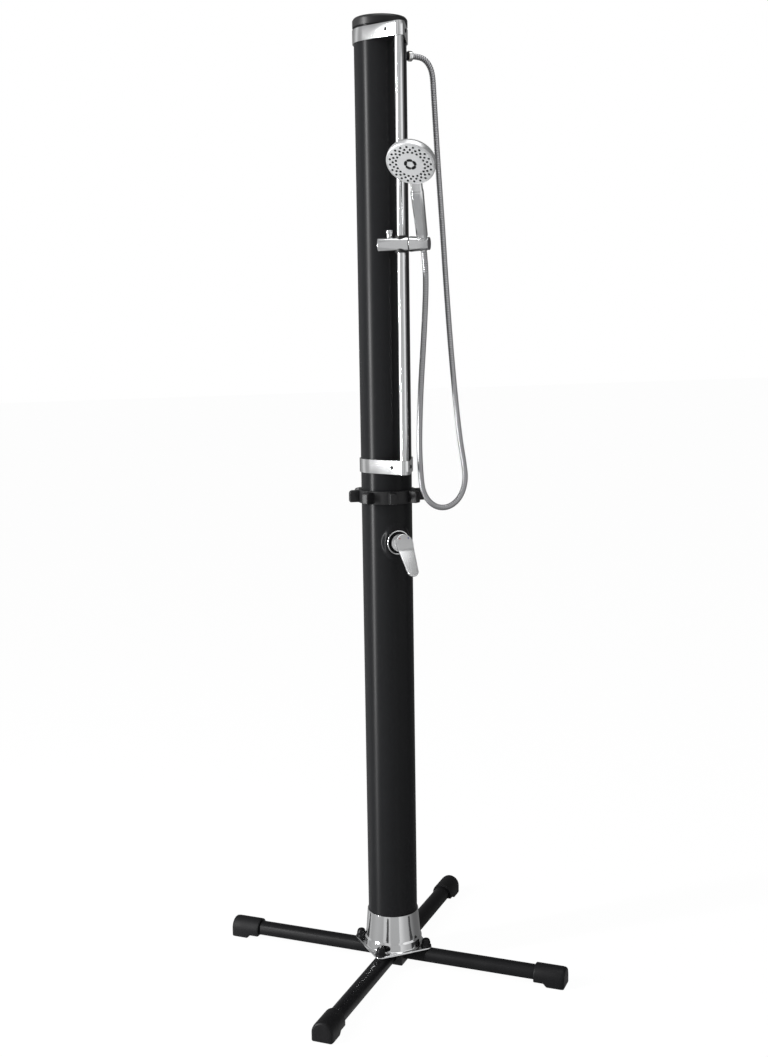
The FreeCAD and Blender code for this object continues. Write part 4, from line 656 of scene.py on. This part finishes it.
# ------------------------------------------------------------------ bands
# Two chromed straps, closed round the post and the rail and drawn tight by black screws into
# the plastic spacers between them.
rail_distance, rail_radius = 100, 10
band_wall, band_play = 3.0, 0.1
band_ends = {"upper": (2140, 2170), "lower": (1192, 1223.5)}
slant = math.asin((post_radius - rail_radius) / rail_distance)


def belt_outline(extra, steps=40):
    """Line of a belt round post and rail, `extra` outside both."""
    big, small = post_radius + band_play + extra, rail_radius + band_play + extra
    points = []
    for index in range(steps * 2 + 1):
        turn = -slant + index / (steps * 2) * (math.pi + 2 * slant)
        points.append(Vector((big * math.cos(turn), big * math.sin(turn))))
    for index in range(steps + 1):
        turn = math.pi + slant + index / steps * (math.pi - 2 * slant)
        points.append(Vector((small * math.cos(turn), small * math.sin(turn) - rail_distance)))
    return points


def strap(low, high):
    """Strap with softened edges between two heights."""
    levels = [(0.0, low + 0.5), (0.0, high - 0.5), (0.15, high - 0.15), (0.6, high),
              (band_wall - 0.6, high), (band_wall - 0.15, high - 0.15), (band_wall, high - 0.6),
              (band_wall, low + 0.6), (band_wall - 0.15, low + 0.15), (band_wall - 0.6, low), (0.6, low),
              (0.15, low + 0.15)]
    return loft([[(p[0], p[1], height) for p in belt_outline(extra)] for extra, height in levels], ends=False)


for end, (low, high) in band_ends.items():
    new_piece(end + "_strap", strap(low, high), chrome, "post", [end + "_band"], angle=30)

band_face = post_radius + band_play + band_wall
screw_from_middle = 62
band_screw_profile = rounded([(0, -2), (4.6, -2), (4.6, 0.6, 0.3), (3.4, 1.9, 0.6), (1.7, 1.9, 0.1),
                              (1.7, 0.5), (0, 0.5)], 3)
band_screw_places = [
    Matrix.Translation((0, 0, (low + high) / 2)) @ Matrix.Rotation(turn, 4, "Z")
    @ Matrix.Translation((band_face, sideways, 0))
    for low, high in band_ends.values()
    for turn, sideways in ((math.pi + slant, screw_from_middle), (-slant, -screw_from_middle))]
new_piece("band_screw_heads", screws_at(band_screw_profile, 24, band_screw_places), black_steel, "post",
          ["band_screws"])


# ------------------------------------------------------------------ slide rail
# Chromed tube, 20 mm across, held in front of the post by the two bands; plastic plugs
# close its ends.
rail_low, rail_high = band_ends["lower"][0] + 3, band_ends["upper"][1] - 3
rail_bore = 8.8
rail_profile = rounded([(rail_bore, rail_low), (rail_radius, rail_low, 0.4), (rail_radius, rail_high, 0.4),
                        (rail_bore, rail_high)], 3)
new_piece("rail_tube", lathe(rail_profile, 64), chrome, "post", ["slide_rail"],
          moved(0, -rail_distance, 0))


# ------------------------------------------------------------------ slider
# Chromed barrel that runs on the rail on two plastic bushes; a button on top releases its
# brake, and a dark seam parts it from the holder.
slider_height, slider_turn = 1700, -37
button_distance = 26.5
slider_frame = moved(0, -rail_distance, slider_height) @ turned(slider_turn, "Z")
lay_down = turned(90, "Y")
bright_plastic = surface("chromed_plastic", (0.53, 0.535, 0.54), 1.0, 0.16, 420, 0.000003, 0.3)
barrel_profile = rounded([(0, -51), (16.5, -51, 1.6), (16.5, 18, 0.5), (0, 18)], 5)
new_piece("slider_barrel", lathe(barrel_profile, 96), bright_plastic, "slider",
          ["slider_body", "slider_end_plug"], slider_frame @ lay_down)
bush_profile = rounded([(10.05, 10), (13.5, 10), (13.5, 18.5, 1.0), (10.05, 18.5, 0.3)], 4)
bush_pair = [lathe(bush_profile, 48), lathe(bush_profile, 48)]
bush_pair[1].transform(turned(180, "X"))
new_piece("bush_collars", merged(bush_pair), black_plastic, "carriage",
          ["rail_bushes"], slider_frame)
button_profile = rounded([(0, -2), (6.6, -2), (6.6, 23.4), (7.5, 24.2, 0.4), (7.5, 31, 1.3), (0, 31)], 5)
new_piece("slider_button", lathe(button_profile, 48), bright_plastic, "button",
          ["release_button"], slider_frame @ moved(-button_distance, 0, 0))
dark_plastic = surface("seam_plastic", (0.03, 0.03, 0.032), 0.0, 0.35, 900, 0.00002, 0.2)


def plainly_finished(name, finish):
    """Give a solid that shows as it is its finish."""
    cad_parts[name].data.materials.clear()
    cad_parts[name].data.materials.append(finish)


plainly_finished("friction_washer", dark_plastic)


# ------------------------------------------------------------------ holder
# Tapered chromed barrel that swivels on the slider's end, with a conical seat and a slot at
# the back for the hose; a dark cap closes its mouth.
holder_tilt, seat_distance = 28, 49
slot_half, slot_back = 7.4, 30
swivel_frame = slider_frame @ turned(holder_tilt, "X")
seat_place = swivel_frame @ moved(seat_distance, 0, 0)


def carved(piece, *tools):
    """Take tool solids out of a piece and drop the tools."""
    for tool in tools:
        cutter = piece.modifiers.new("cut", "BOOLEAN")
        cutter.operation = "DIFFERENCE"
        cutter.solver = "EXACT"
        cutter.object = tool
    mesh = plain_mesh(piece)
    piece.modifiers.clear()
    piece.data = mesh
    for tool in tools:
        bpy.data.objects.remove(tool)
    return piece


holder_profile = rounded([(0, 20.4), (17, 20.4, 0.8), (13.8, 61.5, 0.4), (0, 61.5)], 5)
holder = loose("holder_barrel", lathe(holder_profile, 96), swivel_frame @ lay_down)
seat_tool = loose("seat_tool", lathe([(0, -25), (8.2, -25), (11.9, 25), (0, 25)], 64), seat_place)
slot_tool = loose("slot_tool", prism([(-slot_half, 0), (slot_half, 0), (slot_half, slot_back),
                                      (-slot_half, slot_back)], -40, 40), seat_place)
carved(holder, seat_tool, slot_tool)
holder.data.materials.append(bright_plastic)
smooth(holder, 35)
fitted(holder, "holder", ["handset_holder"])
cap_profile = rounded([(0, 60.5), (8.9, 60.5), (8.9, 61.6), (13.8, 61.6, 0.3), (13.8, 64.1, 0.9),
                       (0, 64.1)], 4)
new_piece("holder_mouth_cap", lathe(cap_profile, 64), dark_plastic, "holder",
          ["holder_end_cap"], swivel_frame @ lay_down)


# ------------------------------------------------------------------ hand shower
# Chromed plastic: a bevelled handle with a flat grey front panel, a drum-shaped head and a
# grey face with black rubber nozzles, on the hose's conical nut.
handset_twist = -5
head_ahead, head_up, head_lean = 24, 190, 107
seat_frame = seat_place @ turned(handset_twist, "Z")
head_frame = seat_frame @ moved(0, -head_ahead, head_up) @ turned(head_lean, "X")
cone_profile = rounded([(4, -15), (8.7, -15, 0.6), (10.9, 14.9), (10.9, 16.1, 0.4), (8.1, 16.1),
                        (8.1, 3), (4, 3)], 4)
new_piece("cone_nut", lathe(cone_profile, 64), bright_plastic, "hose_end",
          ["handset_cone_nut"], seat_frame)


def handle_ring(half_width, half_depth, bevel, height, shift):
    """Bevelled section of the handle at one height, its front corners tighter than its back."""
    wide, deep = half_width - bevel, half_depth - bevel
    outline = rounded([(-wide, -half_depth, 1.2), (wide, -half_depth, 1.2), (half_width, -deep, 1.5),
                       (half_width, deep, 2.5), (wide, half_depth, 2.5), (-wide, half_depth, 2.5),
                       (-half_width, deep, 2.5), (-half_width, -deep, 1.5)], 3)
    return [(p[0], p[1] + shift, height) for p in outline]


# Sections from the nut up to the head: they widen slowly, then step back to a narrower neck.
handle_rings = [handle_ring(*sizes) for sizes in (
    (10.6, 9.6, 4.6, 16.3, 0), (11.4, 10.4, 5.0, 17.2, 0), (11.6, 10.5, 5.0, 21, 0),
    (12.6, 10.5, 5.0, 75, 0), (13.5, 10.5, 5.0, 118.5, 0), (13.4, 9.9, 4.8, 121, 0.4),
    (12.6, 8.6, 3.6, 123, 1.4), (12.0, 8.2, 3.3, 125, 1.8), (11.9, 8.2, 3.2, 156, 1.8))]
new_piece("handset_handle", loft(handle_rings), bright_plastic, "handset",
          ["handset_body"], seat_frame, angle=25)
panel_grey = surface("panel_grey", (0.17, 0.173, 0.176), 0.4, 0.34, 900, 0.00002, 0.2)
panel_outline = [(-7.0, 24), (7.0, 24), (8.0, 116), (6.8, 118), (-6.8, 118), (-8.0, 116)]
new_piece("handle_panel", prism(panel_outline, 8, 10.6), panel_grey, "handset",
          place=seat_frame @ turned(90, "X"), angle=0)
drum_profile = rounded([(0, -27.5), (40, -26.4, 8), (51, -19, 6), (53, -12, 4), (53, -1.4, 1.2),
                        (51.6, 0, 0.8), (50.25, 0, 0.2), (50.25, -4), (0, -4)], 6)
satin_chrome = surface("satin_chrome", (0.50, 0.505, 0.51), 0.75, 0.36, 700, 0.000012, 0.3)
new_piece("handset_head", lathe(drum_profile, 160), satin_chrome, "handset",
          ["handset_body"], head_frame)
face_plastic = surface("face_plastic", (0.33, 0.335, 0.34), 0.2, 0.36, 900, 0.00002, 0.25)
face_profile = rounded([(0, -3), (50, -3), (50, 0.1, 0.7), (14, 0.45, 1), (0, 0.45)], 4)
new_piece("spray_plate", lathe(face_profile, 160), face_plastic, "spray_dial",
          ["spray_face"], head_frame)
nozzle_rubber = surface("nozzle_rubber", (0.004, 0.004, 0.004), 0.0, 0.55, 2000, 0.00002, 0.2, mirror=0.15)
nozzle_profile = rounded([(0, -1), (2.7, -1), (2.45, 0.9, 0.3), (0.8, 1.15, 0.2), (0, 1.0)], 2)
nozzle_circles = (44.5, 37.9, 31.3)
jet_radius, jet_half, jet_reach = 10.5, 3.2, 18


def nozzle_rings():
    """One nozzle of each of the three staggered rings, to be repeated round the face."""
    pins = []
    for index, radius in enumerate(nozzle_circles):
        pin = lathe(nozzle_profile, 12)
        pin.transform(turned(9 * index, "Z") @ Matrix.Translation((radius, 0, 0)))
        pins.append(pin)
    return merged(pins)


def arc(centre, radius, start, turn, steps):
    """Points along an arc."""
    return [Vector(centre) + radius * Vector((math.cos(start + turn * share), math.sin(start + turn * share)))
            for share in steps]


def curved_slot(middle_radius, half_width, half_angle):
    """Outline of a short curved rib with round ends."""
    eighths, fifths = [index / 8 for index in range(9)], [index / 5 for index in range(1, 5)]
    left, right = [arc((0, 0), middle_radius, side * half_angle, 0, [0])[0] for side in (1, -1)]
    return (arc((0, 0), middle_radius + half_width, -half_angle, 2 * half_angle, eighths)
            + arc(left, half_width, half_angle, math.pi, fifths)
            + arc((0, 0), middle_radius - half_width, half_angle, -2 * half_angle, eighths)
            + arc(right, half_width, math.pi - half_angle, math.pi, fifths))


ring_of(loose("spray_nozzles", nozzle_rings()), 20, 0, nozzle_rubber, "spray_dial",
        ["nozzle_mat"], place=head_frame)
jet = prism(curved_slot(jet_radius, jet_half, math.radians(jet_reach)), -0.5, 0.75)
ring_of(loose("centre_jets", jet), 5, 18, nozzle_rubber, "spray_dial",
        ["nozzle_mat"], place=head_frame)


# ------------------------------------------------------------------ hose outlet
# Black rubber gasket and chromed hexagonal nut of the hose, at the right side of the post near
# its top. The nut's corners are turned off at its outer end.
def hexagon(radius):
    """Outline of a hexagon with its corners on this radius."""
    return [(radius * math.cos(turn), radius * math.sin(turn))
            for turn in [math.radians(60 * index) for index in range(6)]]


outlet_height = 2120
outlet_place = moved(0, 0, outlet_height) @ lay_down
gasket_profile = rounded([(7.1, 57), (9.5, 57), (9.5, 67.2, 0.6), (7.1, 67.2)], 4)
new_piece("outlet_washer", lathe(gasket_profile, 48), rubber, "post",
          ["outlet_gasket"], outlet_place)
end_nut = loose("hose_end_nut", prism(hexagon(12.08), 67.5, 77.9), outlet_place)
round_tool = lathe(rounded([(11.4, 60), (20, 60), (20, 90), (8.6, 90), (8.6, 78.4), (11.4, 75.4, 1.5)],
                           4), 64)
carved(end_nut, loose("round_tool", round_tool, outlet_place))
end_nut.data.materials.append(chrome)
soften(end_nut, 0.0003, 2, 40)
fitted(end_nut, "post", ["hose_nut"])


# ------------------------------------------------------------------ tap
# Chromed trim ring round a dark gap, and a die-cast lever: a round hub whose slanted top disc
# runs out into a bent blade, with a plain red and a plain blue mark for hot and cold.
tap_frame = moved(0, 0, tap_height) @ turned(90, "X")
trim_profile = rounded([(25, 60.5), (28, 60.5), (28, 64.5, 1.2), (25, 64.5, 1.0)], 5)
new_piece("tap_trim_ring", lathe(trim_profile, 96), chrome, "post", ["trim_ring"],
          tap_frame)
lever_slant, lever_bend = 27.6, 10.7
lever_rise, lever_height = 4.4, 99.7
hub_radius, hub_foot = 20, 69
disc_radius, tip_radius = 21, 13.6
fold, blade_length = -16.0, 69.0
face_frame = tap_frame @ moved(0, lever_rise, lever_height) @ turned(-lever_slant, "X")


def lever_hub():
    """Hub under the slanted face, as a round wall whose top follows the face."""
    rings = []
    for share, radius in ((0, hub_radius - 0.4), (0.02, hub_radius), (1, hub_radius)):
        ring_points = []
        for x, y, foot in circle(radius, hub_foot, 96):
            top = lever_height - 2 - (y - lever_rise) * math.tan(math.radians(lever_slant))
            ring_points.append((x, y, foot + (top - foot) * share))
        rings.append(ring_points)
    return loft(rings)


def blade_rows():
    """Half widths of the lever plate down its length, from the disc's top to the blade's tip."""
    rows = []
    steps = 60
    top, tip = disc_radius, fold - blade_length
    shoulder, tip_start = -3, tip + 13.5
    root = math.sqrt(disc_radius ** 2 - shoulder ** 2)
    for index in range(steps + 1):
        share = 0.5 - 0.5 * math.cos(math.pi * index / steps)
        y = top + (tip - top) * share
        if y > shoulder:
            half = math.sqrt(max(0, disc_radius ** 2 - y ** 2))
        elif y < tip_start:
            half = math.sqrt(max(0, tip_radius ** 2 - (tip_start - y) ** 2))
        else:
            down = (shoulder - y) / (shoulder - tip_start)
            half = root + (tip_radius - root) * min(1, down)
        rows.append((y, half))
    return rows


def bent(y, height, bend, soft=3.0):
    """Where a point of the flat plate goes once the plate is bent down past the fold."""
    past = fold - y
    if past > soft:
        y_place, z_place = fold - past * math.cos(bend), past * math.sin(bend)
    elif past > -soft:
        turn = bend * (past + soft) / (2 * soft)
        y_place = fold - past * math.cos(turn / 2)
        z_place = (past + soft) ** 2 / (4 * soft) * math.sin(bend)
    else:
        y_place, z_place = y, 0
    lean = bend * max(0, min(1, (past + soft) / (2 * soft)))
    return y_place + height * math.sin(lean), z_place + height * math.cos(lean)


def lever_plate():
    """Lever plate: rows across it, each bent past the fold, with a dished top and rounded rim."""
    build = bmesh.new()
    middle, half_length, across = -32, 53.0, 14
    layers = []
    for thickness, inset in ((-4.5, 0.7), (-3.6, 0.0), (-0.9, 0.0), (-0.25, 0.25), (0.0, 0.9)):
        grid = []
        for y, half in blade_rows():
            drawn_in = middle + (y - middle) * (1 - inset / half_length)
            width = max(0.02, half - inset)
            row = []
            for column in range(across + 1):
                x = width * math.sin(math.pi / 2 * (2 * column / across - 1))
                dish = -0.5 * (x / disc_radius) ** 2
                row.append(build.verts.new((x, *bent(drawn_in, thickness + dish, math.radians(lever_bend)))))
            grid.append(row)
        layers.append(grid)
    for grid in (layers[0], layers[-1]):
        for near, far in zip(grid, grid[1:]):
            for column in range(across):
                build.faces.new((near[column], near[column + 1], far[column + 1], far[column]))
    rims = [[row[0] for row in grid] + grid[-1][1:] + [row[-1] for row in grid[-2::-1]] + grid[0][-2:0:-1]
            for grid in layers]
    for low, high in zip(rims, rims[1:]):
        wall(build, low, high)
    return build


lever_metal = surface("lever_chrome", (0.62, 0.625, 0.63), 1.0, 0.16, 420, 0.000012, 0.3)
new_piece("lever_blade", lever_plate(), lever_metal, "tap_handle", ["tap_lever"],
          face_frame)
hub_metal = surface("hub_chrome", (0.50, 0.505, 0.51), 0.8, 0.4, 420, 0.000012, 0.3)
new_piece("lever_base", lever_hub(), hub_metal, "tap_handle", ["tap_lever"], tap_frame)
red_paint = surface("red_mark", (0.22, 0.014, 0.014), 0.0, 0.4, 2000, 0.00001, 0.2)
blue_paint = surface("blue_mark", (0.014, 0.024, 0.15), 0.0, 0.4, 2000, 0.00001, 0.2)
mark_profile = rounded([(0, -0.6), (1.6, -0.6), (1.6, 0.12, 0.1), (0, 0.12)], 2)
for label, paint, sideways in (("hot_mark", red_paint, -10.5), ("cold_mark", blue_paint, 10.5)):
    new_piece(label, lathe(mark_profile, 24), paint, "tap_handle",
              place=face_frame @ moved(sideways, 10.5, 0))


# ------------------------------------------------------------------ water inlet
# Brass connector at the back of the post, low down: a hexagon, a garden-hose thread and a
# rubber washer against the wall.
brass = surface("brass", (0.62, 0.43, 0.18), 1.0, 0.25, 500, 0.00002, 0.3)
inlet_height = 178
inlet_place = moved(0, 0, inlet_height) @ turned(-90, "X")
inlet_nut = loose("inlet_hexagon", prism(hexagon(16), 60, 68), inlet_place)
inlet_nut.data.materials.append(brass)
soften(inlet_nut, 0.0006, 2, 30)
fitted(inlet_nut, "post", ["water_inlet"])
thread_pitch, thread_root, thread_crest = 1.9, 12.3, 13.2
thread_profile = [(6.6, 50), (10.4, 50), (10.4, 67)]
for turn in range(8):
    up = turn * thread_pitch
    thread_profile += [(thread_root, 68.2 + up), (thread_crest, 69.0 + up), (thread_crest, 69.4 + up),
                       (thread_root, 70.1 + up)]
thread_profile += [(12.0, 84), (6.6, 84)]
new_piece("inlet_thread", lathe(thread_profile, 64), brass, "post", ["water_inlet"],
          inlet_place, angle=30)


# ------------------------------------------------------------------ pieces that hardly show
# Everything inside keeps its solid shape: pipes, cartridge, seals, spacers, springs and
# plugs, in the plain finish of each.
inner_steel = surface("plain_steel", (0.5, 0.5, 0.5), 1.0, 0.3, 800, 0.00002, 0.3)
pipe_plastic = surface("pipe_plastic", (0.7, 0.7, 0.68), 0.0, 0.4, 700, 0.00002, 0.2)
for finish, names in (
        (black_plastic, ("tank_bottom", "band_spacers", "cartridge_nut", "rail_end_plugs", "riser_coupling",
                         "tap_cartridge", "cartridge_rotor", "brake_shoe")),
        (rubber, ("union_seal", "top_cap_seal", "inlet_gasket")),
        (brass, ("mixer_body", "outlet_nipple")),
        (inner_steel, ("lever_pin", "lever_set_screw", "button_spring", "holder_screw")),
        (pipe_plastic, ("cold_pipe", "riser_lower", "riser_upper", "hot_water_pipe", "handset_stem"))):
    for name in names:
        plainly_finished(name, finish)
